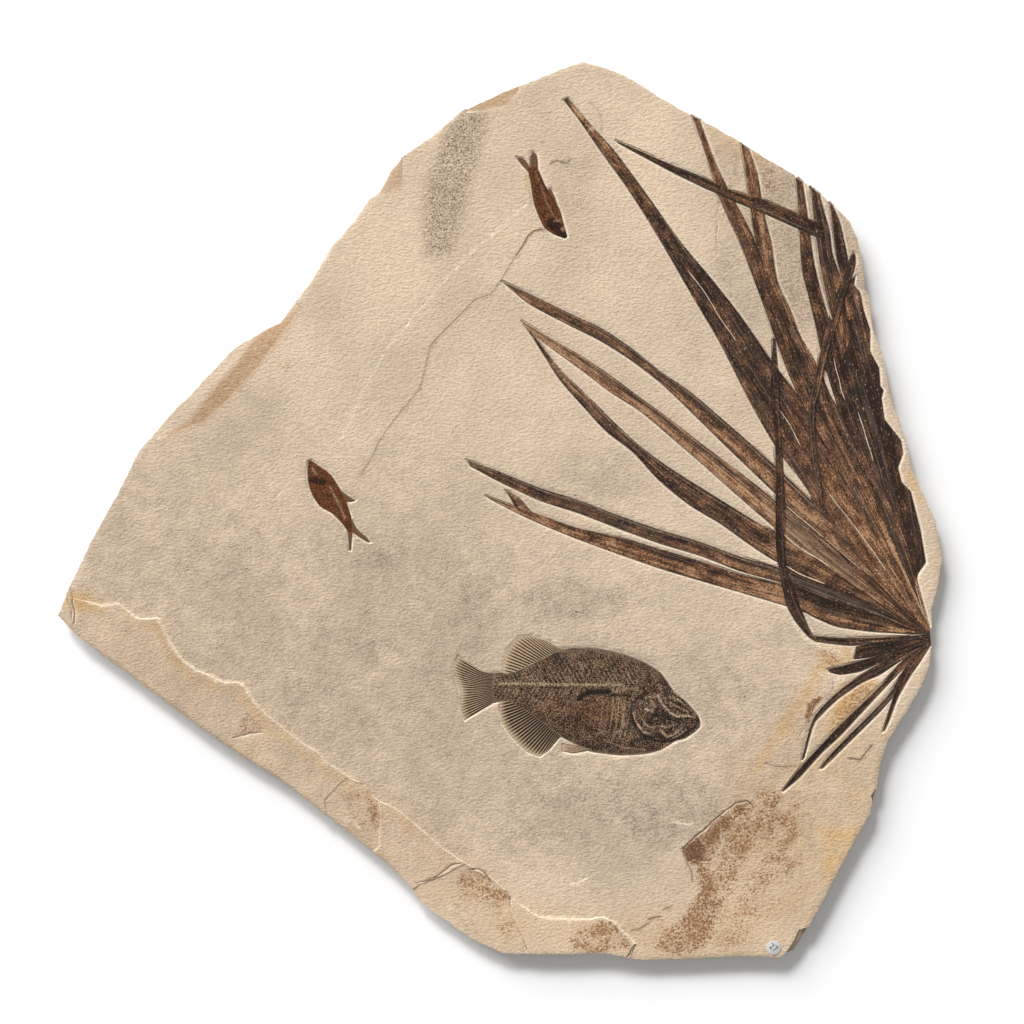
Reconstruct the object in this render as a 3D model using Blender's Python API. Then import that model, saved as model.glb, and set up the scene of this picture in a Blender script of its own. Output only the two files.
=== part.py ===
"""A palm leaf and three fish fossilised in a broken slab of cream limestone.

The slab lies on its back: metres, +Z up, origin under the middle of its outline on the surface it lies on.
Outlines are read on a plan of the slab seen from above, x to the right and y down, one step every 1.15 mm.
"""
import math

import bmesh
import bpy
from mathutils import Vector
from mathutils.geometry import delaunay_2d_cdt, intersect_point_line

STEP = 0.00115                # length of one plan step
PLAN_MIDDLE = (500.4, 510.75)

FACE_LEVEL = 0.0200           # height of the prepared face
NATURAL_RISE = 0.0012         # unprepared rim standing above that face
POCKET_DEPTH = 0.0016         # recess around each fossil
POCKET_MARGIN = 0.0010        # room between a fossil's edge and the wall of its recess
GAP = 0.0003                  # clearance under and around a piece that lies on the stone

LEAF_EDGE = 0.0006            # thickness of a leaflet at its margin
LEAF_FOLD = 0.0011            # extra height along its fold
FISH_EDGE = 0.0006
FISH_FIN = 0.0003             # extra height along a fin
FISH_BODY = 0.0009            # extra height along the middle of the body
FISH_BONE = 0.0002            # height of a bone above that

SIDE_LEVELS = (0.0155, 0.0110, 0.0060, 0.0)   # bedding planes down the broken side
SIDE_INSETS = (0.0020, 0.0035, 0.0012, 0.0030)
LABEL_MIDDLE = (773.4, 947.6)
LABEL_RADIUS = 0.00835
LABEL_THICKNESS = 0.0003
LABEL_SIDES = 40
FLAT_ANGLE = 0.001            # radians: faces closer than this to one plane become one

SLAB_OUTLINE = [
    (583, 61), (600, 66), (624, 74), (650, 90), (680, 108.5), (712, 125), (732, 136), (760, 154), (790, 172.5),
    (804, 181), (820, 193), (834, 204), (850, 220.5), (858, 238), (863, 261), (866, 289), (871, 298), (873, 326),
    (883, 354), (892, 399), (906, 438), (913, 470), (926, 499), (936, 521), (943.3, 558), (938.5, 585),
    (932.5, 608), (930.3, 630), (932.2, 649), (929.6, 668), (921, 689), (906.5, 713.5), (889, 740), (881, 763),
    (877, 790), (871, 813), (859.5, 833), (846, 857.5), (820, 908), (802, 941), (795, 951), (779, 958),
    (736, 957), (666, 960), (637, 960.5), (606, 954), (556, 955), (502, 954), (471, 939), (433, 912.5),
    (419, 902), (411, 887.5), (386, 862.5), (350, 834.5), (313, 804.5), (279, 779), (241, 755.7), (209, 734),
    (173, 707.5), (122, 669), (76, 635.5), (57.5, 615.5), (69, 586), (91.5, 539.5), (121, 486), (138, 451.5),
    (163, 420), (196.5, 386), (230, 349.5), (243, 341), (278, 321), (306, 288), (317, 270), (331, 246.5),
    (354, 220), (369, 199), (380, 191), (391, 170), (401, 158), (431.5, 136), (460, 111.5), (489.6, 98),
    (506, 90), (531, 81), (560, 69)]

# The face was prepared down to the fossils' bedding plane, all but a rim along the lower left.
PREPARED_FACE = [
    (40, 592), (88, 601.5), (120, 604), (140, 618), (156, 618), (169, 640), (194, 668), (226, 683), (246, 688),
    (266, 713), (305, 742), (350, 776), (380, 803), (423, 833), (464, 862), (490, 876.5), (510, 898),
    (546, 917.5), (589, 920), (599, 916), (622, 931), (636, 944), (625, 970), (960, 970), (960, 40), (40, 40)]

# Chips and broken steps below the face: outline and depth. An outline may run past the slab's edge.
LEDGES = [
    ([(300, 306), (289, 326), (254.5, 373), (226, 402), (205, 422), (177, 432), (158, 439), (130, 440),
      (225, 330), (285, 290)], 0.0030),
    ([(466, 112), (481, 111), (506, 105), (519, 91.5), (519, 75), (470, 90)], 0.0016),
    ([(799, 929.5), (794, 940), (787, 951), (779, 962), (810, 965), (820, 925), (809, 927)], 0.0060),
    ([(871, 796), (875, 789), (885, 789), (885, 805), (873, 804)], 0.0040),
    ([(421, 884), (437.5, 877.5), (464, 864), (492, 881), (509, 896), (510, 906), (525, 942), (529, 965),
      (440, 965), (400, 900)], 0.0022),
    ([(346, 778), (362, 785), (378, 802), (380, 820), (379, 846), (366, 858), (330, 850), (325, 800)], 0.0022),
]

# Leaflets: the two margins, each from the tip to the base of the leaf.
LEAFLETS = [
    ([(564, 100), (580, 121), (600, 150), (630, 192), (660, 240), (690, 292), (720, 343), (750, 402),
      (776, 447), (800, 479), (830, 521), (880, 580), (928, 632)],
     [(568, 98), (594, 128), (617, 154), (650, 199), (680, 241), (710, 277), (740, 315), (772, 361),
      (800, 398), (808, 413), (840, 470), (885, 550), (930, 630)]),
    ([(692.5, 116), (706, 155), (721, 202), (740, 244), (760, 296), (780, 351), (801, 402), (840, 480),
      (886, 560), (929, 631)],
     [(699.5, 120), (714, 159), (729, 191), (755, 241), (770, 290), (785, 330), (805, 380), (830, 430),
      (885, 540), (930, 629)]),
    ([(741.5, 144), (745, 168), (751, 210), (755, 237), (765, 280), (785, 330), (810, 390), (860, 490),
      (928, 628)],
     [(749, 149.5), (757, 173), (764, 213), (771, 242), (777, 280), (790, 309), (800, 335), (817, 366),
      (835, 420), (870, 490), (929.5, 627)]),
    ([(616, 140.5), (640, 151), (670, 164), (700, 176), (730, 190), (762, 199), (790, 211), (822, 225)],
     [(618, 142.5), (645, 157), (675, 173), (706, 188), (735, 201), (769, 215), (800, 229), (822, 239)]),
    ([(796, 177), (798, 202), (800, 240), (802, 270), (809, 298), (816, 328), (821, 351), (838, 408),
      (860, 460), (900, 540), (929, 628)],
     [(802.5, 182), (806, 206), (810, 235), (813, 258), (818, 280), (824, 303), (835, 340), (850, 400),
      (870, 460), (905, 540), (929.5, 627)]),
    ([(811, 187.5), (813, 209), (816.7, 238), (820, 263), (825, 288), (831, 314), (842, 360)],
     [(819.5, 194), (823.6, 210), (829.4, 231), (832, 252), (838.5, 272), (841, 283), (850, 340)]),
    ([(830, 202.5), (833, 229), (837, 258), (841, 275), (848, 320)],
     [(833, 206), (839.7, 222), (843.7, 239), (847.7, 258), (850, 275), (856, 320)]),
    ([(853.5, 253), (849, 262), (842, 280), (834, 302), (821, 350), (812, 390), (808.5, 410), (810, 450),
      (816, 490), (820, 507)],
     [(855, 254.5), (855, 264), (850, 282), (845, 298), (829, 350), (820, 390), (815, 410), (817, 450),
      (822, 490), (823, 507)]),
    ([(502.5, 281.5), (530, 294), (570, 313.6), (600, 327.4), (630, 347), (660, 371), (690, 391.5),
      (720, 417), (750, 443), (775, 466), (811, 500), (840, 531), (880, 580), (915, 620)],
     [(510, 288), (530, 304), (570, 325), (600, 340), (630, 359), (660, 382), (690, 410.5), (720, 440),
      (750, 469), (774, 492), (797, 516), (820, 535), (850, 560), (885, 590), (915, 621)]),
    ([(522, 321), (550, 338), (580, 355), (610, 375), (640, 397.5), (670, 419), (700, 442.5), (730, 465),
      (760, 488), (779, 504), (800, 520), (830, 546), (865, 580), (912, 622)],
     [(525, 327), (550, 346.7), (580, 368.4), (610, 391.4), (640, 410.5), (670, 435.7), (700, 461.6),
      (730, 488.4), (760, 514.6), (784, 535), (810, 554), (841, 577), (875, 600), (912, 625)]),
    ([(527, 325), (541, 344), (562, 371), (590, 398), (615, 423), (640, 446), (670, 468), (700, 487),
      (730, 505.6), (760, 524), (784, 537), (841, 578), (880, 604), (915, 627)],
     [(524, 325), (533.6, 339), (545, 357), (560, 380), (582, 405), (606, 431), (632, 451), (660, 481),
      (690, 505), (720, 523), (750, 544.5), (776, 561), (830, 587.6), (870, 604), (915, 628)]),
    ([(466.8, 460), (500, 472), (540, 488), (580, 500.6), (620, 516), (660, 529.7), (700, 542),
      (740, 556.5), (778, 568), (830, 590), (870, 606), (915, 629)],
     [(470, 465.5), (500, 481.5), (540, 500), (580, 513), (620, 528.5), (660, 543), (700, 555),
      (740, 570.6), (780, 582), (830, 600), (870, 613), (915, 630)]),
    ([(486, 496), (510, 505), (540, 515), (580, 528.6), (620, 537), (660, 549), (700, 561), (740, 574.4),
      (780, 584), (830, 600), (870, 614), (915, 630)],
     [(490, 498.7), (520, 514), (550, 527.4), (580, 539.5), (620, 554), (660, 568), (700, 580),
      (740, 591.6), (785, 605), (801, 610), (833, 625), (870, 631), (915, 633)]),
    ([(505.5, 490.5), (511, 499), (517, 509), (532, 516)],
     [(509.5, 491.7), (520, 498.7), (531, 511), (540, 517)]),
    ([(773, 340), (771, 389), (775, 440), (775.5, 500), (775.5, 535), (777, 555), (785, 600), (794, 619),
      (808, 636), (817, 641)],
     [(775, 338), (779, 389), (781, 440), (785, 500), (785, 535), (786, 565), (798, 600), (805, 619),
      (812, 634), (818, 637)]),
    ([(811, 636), (849, 638), (890, 637), (929, 634.5)],
     [(815, 641), (850, 645), (875, 643), (913, 638), (930, 636.5)]),
    ([(857, 647), (875, 643.4), (905, 640), (929, 637)],
     [(854, 659), (868, 657.4), (894, 651), (913, 645), (930, 640)]),
    ([(828, 669.5), (850, 664), (870, 658.7), (890, 652), (910, 645), (929, 639)],
     [(829, 671.5), (840, 674), (860, 671), (880, 662.5), (900, 653.6), (930, 642)]),
    ([(802, 760), (804.6, 749), (810, 729), (816, 715), (830, 699.5), (850, 683), (870, 670), (890, 658.7),
      (929, 640)],
     [(804, 758), (809, 738), (815, 721), (836.5, 699.5), (860, 683), (880, 674), (900, 661), (930.5, 643)]),
    ([(782.5, 791), (800, 768.4), (820, 746.7), (840, 725.6), (860, 706.5), (880, 686.7), (901.6, 662.5),
      (930, 640)],
     [(784, 790), (800, 776), (820, 753.7), (840, 735), (860, 713.5), (880, 692), (905.4, 666),
      (930.5, 643)]),
    ([(820.5, 768.5), (830, 755.6), (850, 735), (870, 715), (890, 693), (905, 669), (930, 641)],
     [(822.5, 768), (840, 750.5), (860, 730.7), (880, 711), (900, 689), (918, 664), (931, 644)]),
    ([(883, 731.4), (887.6, 717), (895, 694.4), (905, 672)],
     [(884.4, 730), (889, 720), (897.7, 697), (912, 672)]),
]

# Where the leaflets run together below the base, seen as one dark fan.
FAN = [
    (808, 412), (812, 390), (817, 367), (821, 351), (826, 328), (832, 318), (836, 300), (846, 268),
    (850, 281), (855, 277), (854, 285), (860, 292), (864, 311), (870, 329), (870, 351), (879, 367.6),
    (880.3, 386), (883.5, 390), (881.5, 398), (884.5, 419), (893, 430), (901, 440), (903, 453), (898, 467),
    (901.6, 482), (910.5, 491), (920, 528), (925.8, 562), (918, 573.5), (915, 586), (924, 617), (929.5, 629),
    (930, 634), (907, 634), (875, 631.3), (840, 627), (816, 618), (801, 610), (786, 604), (785, 476),
    (800, 490.5), (811, 500), (812, 450)]
LEAF_BASE = [(922, 622), (929.5, 629), (930.3, 635), (931, 642), (931.2, 645), (922, 652), (926, 642), (926, 634)]
FAN_GAP = [(825, 369), (829, 377), (834, 392), (839, 409), (831, 396), (825, 382), (823, 374)]
FAN_FOLDS = [
    [(866, 330), (872, 390), (886, 460), (902, 530), (926, 620)],
    [(852, 300), (860, 380), (874, 450), (894, 530), (926, 624)],
    [(838, 340), (848, 420), (868, 490), (896, 560), (926, 627)],
    [(824, 420), (840, 470), (870, 530), (926, 629)],
    [(800, 420), (824, 480), (862, 548), (924, 630)],
    [(790, 442), (818, 492), (860, 556), (922, 630)],
]
FAN_FOLD_HALF_WIDTH = 7.0     # plan steps

# Fish: body and fins, each as its upper and lower margin from the tail end to the head end.
LARGE_FISH = [
    ([(492, 674.5), (510, 673), (535, 662), (560, 650), (590, 647.5), (620, 653), (640, 660), (660, 672),
      (673, 690), (686, 701), (697, 714), (700, 722)],
     [(492, 702), (510, 702), (535, 717), (560, 736), (590, 751), (620, 755), (645, 753.5), (660, 749.8),
      (675, 741), (685, 738), (695, 731), (699, 727)], FISH_BODY),
    ([(458, 656.3), (470, 664), (484, 672), (500, 677)],
     [(454, 667), (457, 680), (478, 690), (500, 690)], FISH_FIN),
    ([(456, 676), (478, 682), (500, 682)],
     [(461, 694), (460, 706), (465, 719.5), (478, 711.5), (500, 698)], FISH_FIN),
    ([(503, 671), (505, 659), (510, 647), (520, 637), (531, 636), (549, 643), (560, 650)],
     [(506, 675), (520, 675), (535, 672), (548, 666), (562, 656)], FISH_FIN),
    ([(501, 698), (515, 700), (535, 706), (552, 722), (562, 734)],
     [(499.5, 710), (503, 724), (513, 738), (528, 752), (540, 756), (550, 748), (560, 736)], FISH_FIN),
    ([(563, 745), (575, 747), (590, 746)],
     [(563, 751), (572, 753), (590, 750)], FISH_FIN),
]
# Bones that stand out on the large fish: backbone, edge of the gill cover, jaw and two ribs.
LARGE_FISH_BONES = [
    [(500, 686), (540, 686), (580, 685), (619, 685)],
    [(640, 696), (632, 703), (630, 714), (634, 727), (642, 737)],
    [(662, 705), (670, 716), (682, 718), (696, 719)],
    [(612, 700), (608, 716), (607, 735)],
    [(598, 702), (594, 716), (593, 732)],
]
BONE_HALF_WIDTH = 1.6         # plan steps
SMALL_FISH_UPPER = [
    ([(529, 166), (537, 168), (545, 185), (553, 197), (560, 211), (564, 226), (567, 236)],
     [(528, 171), (530.5, 182), (534, 203), (540, 219), (545, 228), (554, 234), (565, 238)], FISH_BODY),
    ([(517, 157.5), (524, 159), (530, 167), (534, 170)],
     [(518, 160), (524, 167), (528, 171), (532, 174)], FISH_FIN),
    ([(533, 151.5), (536.5, 155), (537.5, 163), (538, 172)],
     [(530.5, 156), (530.5, 162), (530.5, 168), (532, 173)], FISH_FIN),
    ([(548, 189), (551, 189.5), (555, 198), (557, 205)],
     [(547, 191), (549, 195), (552, 202), (555, 206)], FISH_FIN),
]
SMALL_FISH_LOWER = [
    ([(352, 531), (351, 518), (346, 501.5), (341, 491), (333, 478), (327, 471.5), (319, 466), (311, 460.3)],
     [(347.5, 531), (342, 523), (332, 513), (320, 506), (313, 496), (309, 486), (307.5, 473),
      (308, 461.5)], FISH_BODY),
    ([(350.5, 550), (351.5, 538), (353, 526)],
     [(349, 550), (348.5, 540), (347, 526)], FISH_FIN),
    ([(370, 542), (366, 537), (357, 529), (352, 520)],
     [(366, 541), (356, 534.5), (349, 528)], FISH_FIN),
    ([(355, 500.5), (346, 494.5), (338, 488)],
     [(350, 501.5), (344, 501), (338, 496)], FISH_FIN),
]


def place(point):
    """Plan steps to metres in the slab's frame."""
    return Vector(((point[0] - PLAN_MIDDLE[0]) * STEP, (PLAN_MIDDLE[1] - point[1]) * STEP))


def resample(line, count):
    """The same number of points on every margin, evenly spaced along it."""
    lengths = [0.0]
    for a, b in zip(line, line[1:]):
        lengths.append(lengths[-1] + (b - a).length)
    points = []
    for k in range(count):
        target = lengths[-1] * k / (count - 1)
        j = max(i for i in range(len(line) - 1) if lengths[i] <= target + 1e-12)
        share = (target - lengths[j]) / max(lengths[j + 1] - lengths[j], 1e-9)
        points.append(line[j].lerp(line[j + 1], min(share, 1.0)))
    return points


def blade(left, right, rise):
    """A leaflet, fin or body: its outline, and a ridge that runs down its middle."""
    left, right = [place(p) for p in left], [place(p) for p in right]
    count = max(len(left), len(right))
    pairs = list(zip(resample(left, count), resample(right, count)))[1:-1]
    return {"outline": left + right[::-1], "rise": rise,
            "ridge": [(a + b) / 2 for a, b in pairs], "half": [(a - b).length / 2 for a, b in pairs]}


def fold(line, half_width, rise):
    """A ridge with no outline of its own."""
    points = [place(p) for p in line]
    return {"outline": [], "rise": rise, "ridge": points, "half": [half_width * STEP] * len(points)}


def ridge_height(shapes, point):
    """Height above the edge at a point: the highest ridge there, falling straight to its margins."""
    best = 0.0
    for shape in shapes:
        ridge, half = shape["ridge"], shape["half"]
        for k in range(len(ridge) - 1):
            near, share = intersect_point_line(point, ridge[k], ridge[k + 1])
            share = min(max(share, 0.0), 1.0)
            near = ridge[k].lerp(ridge[k + 1], share)
            width = half[k] * (1 - share) + half[k + 1] * share
            best = max(best, shape["rise"] * (1 - (point - near.to_2d()).length / max(width, 1e-6)))
    return best


def inside(point, loop):
    """Winding test, so a loop that crosses itself at a sharp tip still counts as filled."""
    turns = 0
    for a, b in zip(loop, loop[1:] + loop[:1]):
        if (a.y <= point.y) != (b.y <= point.y):
            side = (b.x - a.x) * (point.y - a.y) - (point.x - a.x) * (b.y - a.y)
            if a.y <= point.y < b.y and side > 0:
                turns += 1
            elif b.y <= point.y < a.y and side < 0:
                turns -= 1
    return turns != 0


def widen(loop, margin):
    """The loop moved outward by a margin, with its sharp tips cut off square."""
    area = sum(a.x * b.y - b.x * a.y for a, b in zip(loop, loop[1:] + loop[:1]))
    sign = 1 if area > 0 else -1
    result = []
    for before, here, after in zip(loop[-1:] + loop[:-1], loop, loop[1:] + loop[:1]):
        first, second = (here - before).normalized(), (after - here).normalized()
        normals = [Vector((d.y, -d.x)) * sign for d in (first, second)]
        middle = (normals[0] + normals[1])
        if normals[0].dot(normals[1]) < 0:
            result += [here + normals[0] * margin + first * margin, here + normals[1] * margin - second * margin]
        else:
            result.append(here + middle * (2 * margin / middle.length_squared))
    return result


def sheet(loops, holes=(), lines=()):
    """A flat mesh over the union of the loops, cut along every given line."""
    points, edges = [], []
    for loop in list(loops) + list(holes):
        first = len(points)
        points += loop
        edges += [(first + k, first + (k + 1) % len(loop)) for k in range(len(loop))]
    for line in lines:
        first = len(points)
        points += line
        edges += [(first + k, first + k + 1) for k in range(len(line) - 1)]
    corners, _, faces, *_ = delaunay_2d_cdt(points, edges, [], 0, 1e-6)
    bm = bmesh.new()
    made = [bm.verts.new((c.x, c.y, 0)) for c in corners]
    for face in faces:
        middle = sum((corners[k] for k in face), Vector((0, 0))) / len(face)
        if any(inside(middle, loop) for loop in loops) and not any(inside(middle, loop) for loop in holes):
            bm.faces.new([made[k] for k in face])
    bmesh.ops.delete(bm, geom=[v for v in bm.verts if not v.link_faces], context="VERTS")
    return bm


def solidify_down(bm, bottom):
    """Closes a sheet into a solid with a flat underside."""
    made = bmesh.ops.extrude_face_region(bm, geom=bm.faces[:])["geom"]
    for vert in (g for g in made if isinstance(g, bmesh.types.BMVert)):
        vert.co.z = bottom
    flat = [g for g in made if isinstance(g, bmesh.types.BMFace)]
    bmesh.ops.dissolve_faces(bm, faces=flat, use_verts=True)
    bmesh.ops.recalc_face_normals(bm, faces=bm.faces[:])


def make_object(name, bm, material=None):
    """Turns a finished bmesh into an object of the scene."""
    mesh = bpy.data.meshes.new(name)
    bm.to_mesh(mesh)
    bm.free()
    if material:
        mesh.materials.append(material)
    made = bpy.data.objects.new(name, mesh)
    bpy.context.scene.collection.objects.link(made)
    return made


def prism(name, loops, bottom, top, holes=()):
    """A straight-sided solid over the union of the loops."""
    bm = sheet(loops, holes)
    for vert in bm.verts:
        vert.co.z = top
    solidify_down(bm, bottom)
    bmesh.ops.dissolve_limit(bm, angle_limit=FLAT_ANGLE, verts=bm.verts[:], edges=bm.edges[:])
    return make_object(name, bm)


def cut(target, cutter):
    """Takes the cutter's shape out of the target."""
    cutter.hide_render = True
    cutter.display_type = "WIRE"
    modifier = target.modifiers.new(cutter.name, "BOOLEAN")
    modifier.operation = "DIFFERENCE"
    modifier.solver = "EXACT"
    modifier.object = cutter


def material(name, colour, roughness):
    """A plain surface with one colour."""
    made = bpy.data.materials.new(name)
    made.use_nodes = True
    shader = made.node_tree.nodes["Principled BSDF"]
    shader.inputs["Base Color"].default_value = (*colour, 1)
    shader.inputs["Roughness"].default_value = roughness
    shader.inputs["Metallic"].default_value = 0.0
    return made


def fossil(name, shapes, edge, surface, holes=()):
    """A thin fossil in its recess: flat below, with a raised ridge down each of its parts."""
    bm = sheet([s["outline"] for s in shapes if s["outline"]], holes, [s["ridge"] for s in shapes])
    floor = FACE_LEVEL - POCKET_DEPTH + GAP
    for vert in bm.verts:
        vert.co.z = floor + edge + ridge_height(shapes, vert.co.to_2d())
    solidify_down(bm, floor)
    return make_object(name, bm, surface)


def broken_side(bm, bottom_face):
    """Steps the slab's side in and out along its bedding planes, never past its top outline."""
    face = bottom_face
    outline = [place(p) for p in SLAB_OUTLINE]
    for level, inset in zip(SIDE_LEVELS, SIDE_INSETS):
        made = bmesh.ops.extrude_face_region(bm, geom=[face])["geom"]
        bm.faces.remove(face)
        face = next(g for g in made if isinstance(g, bmesh.types.BMFace))
        for vert in face.verts:
            home = min(outline, key=lambda p: (p - vert.co.to_2d()).length)
            inward = Vector((-home.x, -home.y)).normalized()
            wave = 0.5 + 0.5 * math.sin(home.x * 61 + home.y * 47 + level * 900)
            vert.co.x, vert.co.y = home + inward * inset * (0.3 + 0.7 * wave)
            vert.co.z = level


def stone_slab(surface, pockets):
    """The slab: broken side, prepared face, chipped ledges and the recesses of the fossils."""
    bm = bmesh.new()
    top = bm.faces.new([bm.verts.new((*place(p), FACE_LEVEL + NATURAL_RISE)) for p in SLAB_OUTLINE])
    made = bmesh.ops.extrude_face_region(bm, geom=[top])["geom"]
    lower = next(g for g in made if isinstance(g, bmesh.types.BMFace))
    for vert in lower.verts:
        vert.co.z = SIDE_LEVELS[0] + 0.001
    broken_side(bm, lower)
    bmesh.ops.recalc_face_normals(bm, faces=bm.faces[:])
    slab = make_object("stone_slab", bm, surface)
    above = FACE_LEVEL + 2 * NATURAL_RISE
    cut(slab, prism("face_cutter", [[place(p) for p in PREPARED_FACE]], FACE_LEVEL, above))
    for k, (outline, depth) in enumerate(LEDGES):
        loop = [place(p) for p in outline]
        cut(slab, prism(f"ledge_cutter_{k}", [loop], FACE_LEVEL - depth, above + 0.001))
    cut(slab, pockets)
    return slab


def paper_label(surface):
    """A thin round paper dot."""
    bm = bmesh.new()
    bmesh.ops.create_cone(bm, cap_ends=True, segments=LABEL_SIDES, radius1=LABEL_RADIUS,
                          radius2=LABEL_RADIUS, depth=LABEL_THICKNESS)
    label = make_object("paper_label", bm, surface)
    label.location = (*place(LABEL_MIDDLE), FACE_LEVEL + GAP + LABEL_THICKNESS / 2)


def main():
    for old in list(bpy.data.objects):
        bpy.data.objects.remove(old, do_unlink=True)
    limestone = material("limestone", (0.66, 0.54, 0.40), 0.9)
    leaf_film = material("leaf_film", (0.060, 0.034, 0.022), 0.7)
    fish_bone = material("fish_bone", (0.090, 0.060, 0.038), 0.6)
    paper = material("paper", (0.80, 0.79, 0.76), 0.85)

    leaflets = [blade(left, right, LEAF_FOLD) for left, right in LEAFLETS]
    fan = [place(p) for p in FAN]
    gap = [place(p) for p in FAN_GAP]
    folds = [fold(line, FAN_FOLD_HALF_WIDTH, LEAF_FOLD) for line in FAN_FOLDS]
    base = [place(p) for p in LEAF_BASE]
    flat_parts = [{"outline": loop, "rise": 0.0, "ridge": [], "half": []} for loop in (fan, base)]
    fossil("palm_frond", leaflets + flat_parts + folds, LEAF_EDGE, leaf_film, holes=[gap])
    bones = [fold(line, BONE_HALF_WIDTH, FISH_BODY + FISH_BONE) for line in LARGE_FISH_BONES]
    fish = [("large_fish", LARGE_FISH, bones), ("small_fish_upper", SMALL_FISH_UPPER, []),
            ("small_fish_lower", SMALL_FISH_LOWER, [])]
    loops = [s["outline"] for s in leaflets] + [fan, base]
    for name, parts, ridges in fish:
        shapes = [blade(*part) for part in parts]
        fossil(name, shapes + ridges, FISH_EDGE, fish_bone)
        loops += [s["outline"] for s in shapes]
    wide = [widen(loop, POCKET_MARGIN) for loop in loops]
    pockets = prism("pocket_cutter", wide, FACE_LEVEL - POCKET_DEPTH, FACE_LEVEL + 3 * NATURAL_RISE)
    stone_slab(limestone, pockets)
    paper_label(paper)


main()
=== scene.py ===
"""The look of a fossil slab: a palm leaf and three fish in cream limestone, lying on a white table.

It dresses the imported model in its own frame: metres, +Z up, the slab on its back. Places on the slab are
given on a plan seen from above, x to the right and y down, one step every 1.15 mm.
"""
import math

import bmesh
import bpy
import numpy as np
from mathutils import Matrix, Vector, noise


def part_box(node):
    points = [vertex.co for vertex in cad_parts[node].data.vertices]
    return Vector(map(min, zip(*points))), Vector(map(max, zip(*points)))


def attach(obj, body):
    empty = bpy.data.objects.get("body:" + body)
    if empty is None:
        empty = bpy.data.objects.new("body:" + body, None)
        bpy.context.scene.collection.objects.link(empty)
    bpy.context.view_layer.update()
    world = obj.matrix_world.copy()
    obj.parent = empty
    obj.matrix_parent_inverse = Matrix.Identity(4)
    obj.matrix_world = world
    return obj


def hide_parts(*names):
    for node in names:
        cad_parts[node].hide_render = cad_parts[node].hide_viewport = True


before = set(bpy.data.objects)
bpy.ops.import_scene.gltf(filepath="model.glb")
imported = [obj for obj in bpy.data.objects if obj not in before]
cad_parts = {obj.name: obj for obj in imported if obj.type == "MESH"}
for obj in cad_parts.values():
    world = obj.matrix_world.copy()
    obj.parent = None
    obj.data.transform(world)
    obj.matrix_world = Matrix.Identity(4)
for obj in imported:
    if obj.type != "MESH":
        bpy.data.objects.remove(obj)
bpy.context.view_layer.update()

STEP = 0.00115                # length of one plan step
PLAN_MIDDLE = (500.4, 510.75)
FACE_LEVEL = 0.0200           # height of the prepared face
RIM_LEVEL = 0.0212            # top of the unprepared rim
RECESS_LEVEL = 0.0184         # floor of the recesses
FLOOR_LEVEL = 0.0187          # underside of the fossils, just above that floor
STEP_LEVEL = 0.0195           # steps on the face start above this
INNER_LEVEL = 0.0174          # the face and all that is sunk into it lie above this
SIDE_TOP = 0.0172             # and the slab's broken side lies below this
WALL_TOP_SHIFT = 0.0018       # how far a recess's wall leans back at its rim
STEEP_TOP_SHIFT = 0.0011      # the same for low steps on the face
WALL_FOOT_SHIFT = 0.0004      # and forward at its foot
FACE_CELL = 0.0041            # size of a facet on the face
SIDE_CELL = 0.0110            # and on the side and the underside
LAYER_CELL = 0.0024           # and its height on the side
SLIVER_FOOT = 0.0182          # foot and top of the thin walls between leaflets
SLIVER_TOP = 0.0207

# The broken edge of the slab, going round from its top.
SLAB_OUTLINE = [
    (583, 61), (600, 66), (624, 74), (650, 90), (680, 108.5), (712, 125), (732, 136), (760, 154),
    (790, 172.5), (804, 181), (820, 193), (834, 204), (850, 220.5), (858, 238), (863, 261), (866, 289),
    (871, 298), (873, 326), (883, 354), (892, 399), (906, 438), (913, 470), (926, 499), (936, 521),
    (943.3, 558), (938.5, 585), (932.5, 608), (930.3, 630), (932.2, 649), (929.6, 668), (921, 689),
    (906.5, 713.5), (889, 740), (881, 763), (877, 790), (871, 813), (859.5, 833), (846, 857.5), (820, 908),
    (802, 941), (795, 951), (779, 958), (736, 957), (666, 960), (637, 960.5), (606, 954), (556, 955),
    (502, 954), (471, 939), (433, 912.5), (419, 902), (411, 887.5), (386, 862.5), (350, 834.5),
    (313, 804.5), (279, 779), (241, 755.7), (209, 734), (173, 707.5), (122, 669), (76, 635.5),
    (57.5, 615.5), (69, 586), (91.5, 539.5), (121, 486), (138, 451.5), (163, 420), (196.5, 386),
    (230, 349.5), (243, 341), (278, 321), (306, 288), (317, 270), (331, 246.5), (354, 220), (369, 199),
    (380, 191), (391, 170), (401, 158), (431.5, 136), (460, 111.5), (489.6, 98), (506, 90), (531, 81),
    (560, 69)]
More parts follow.
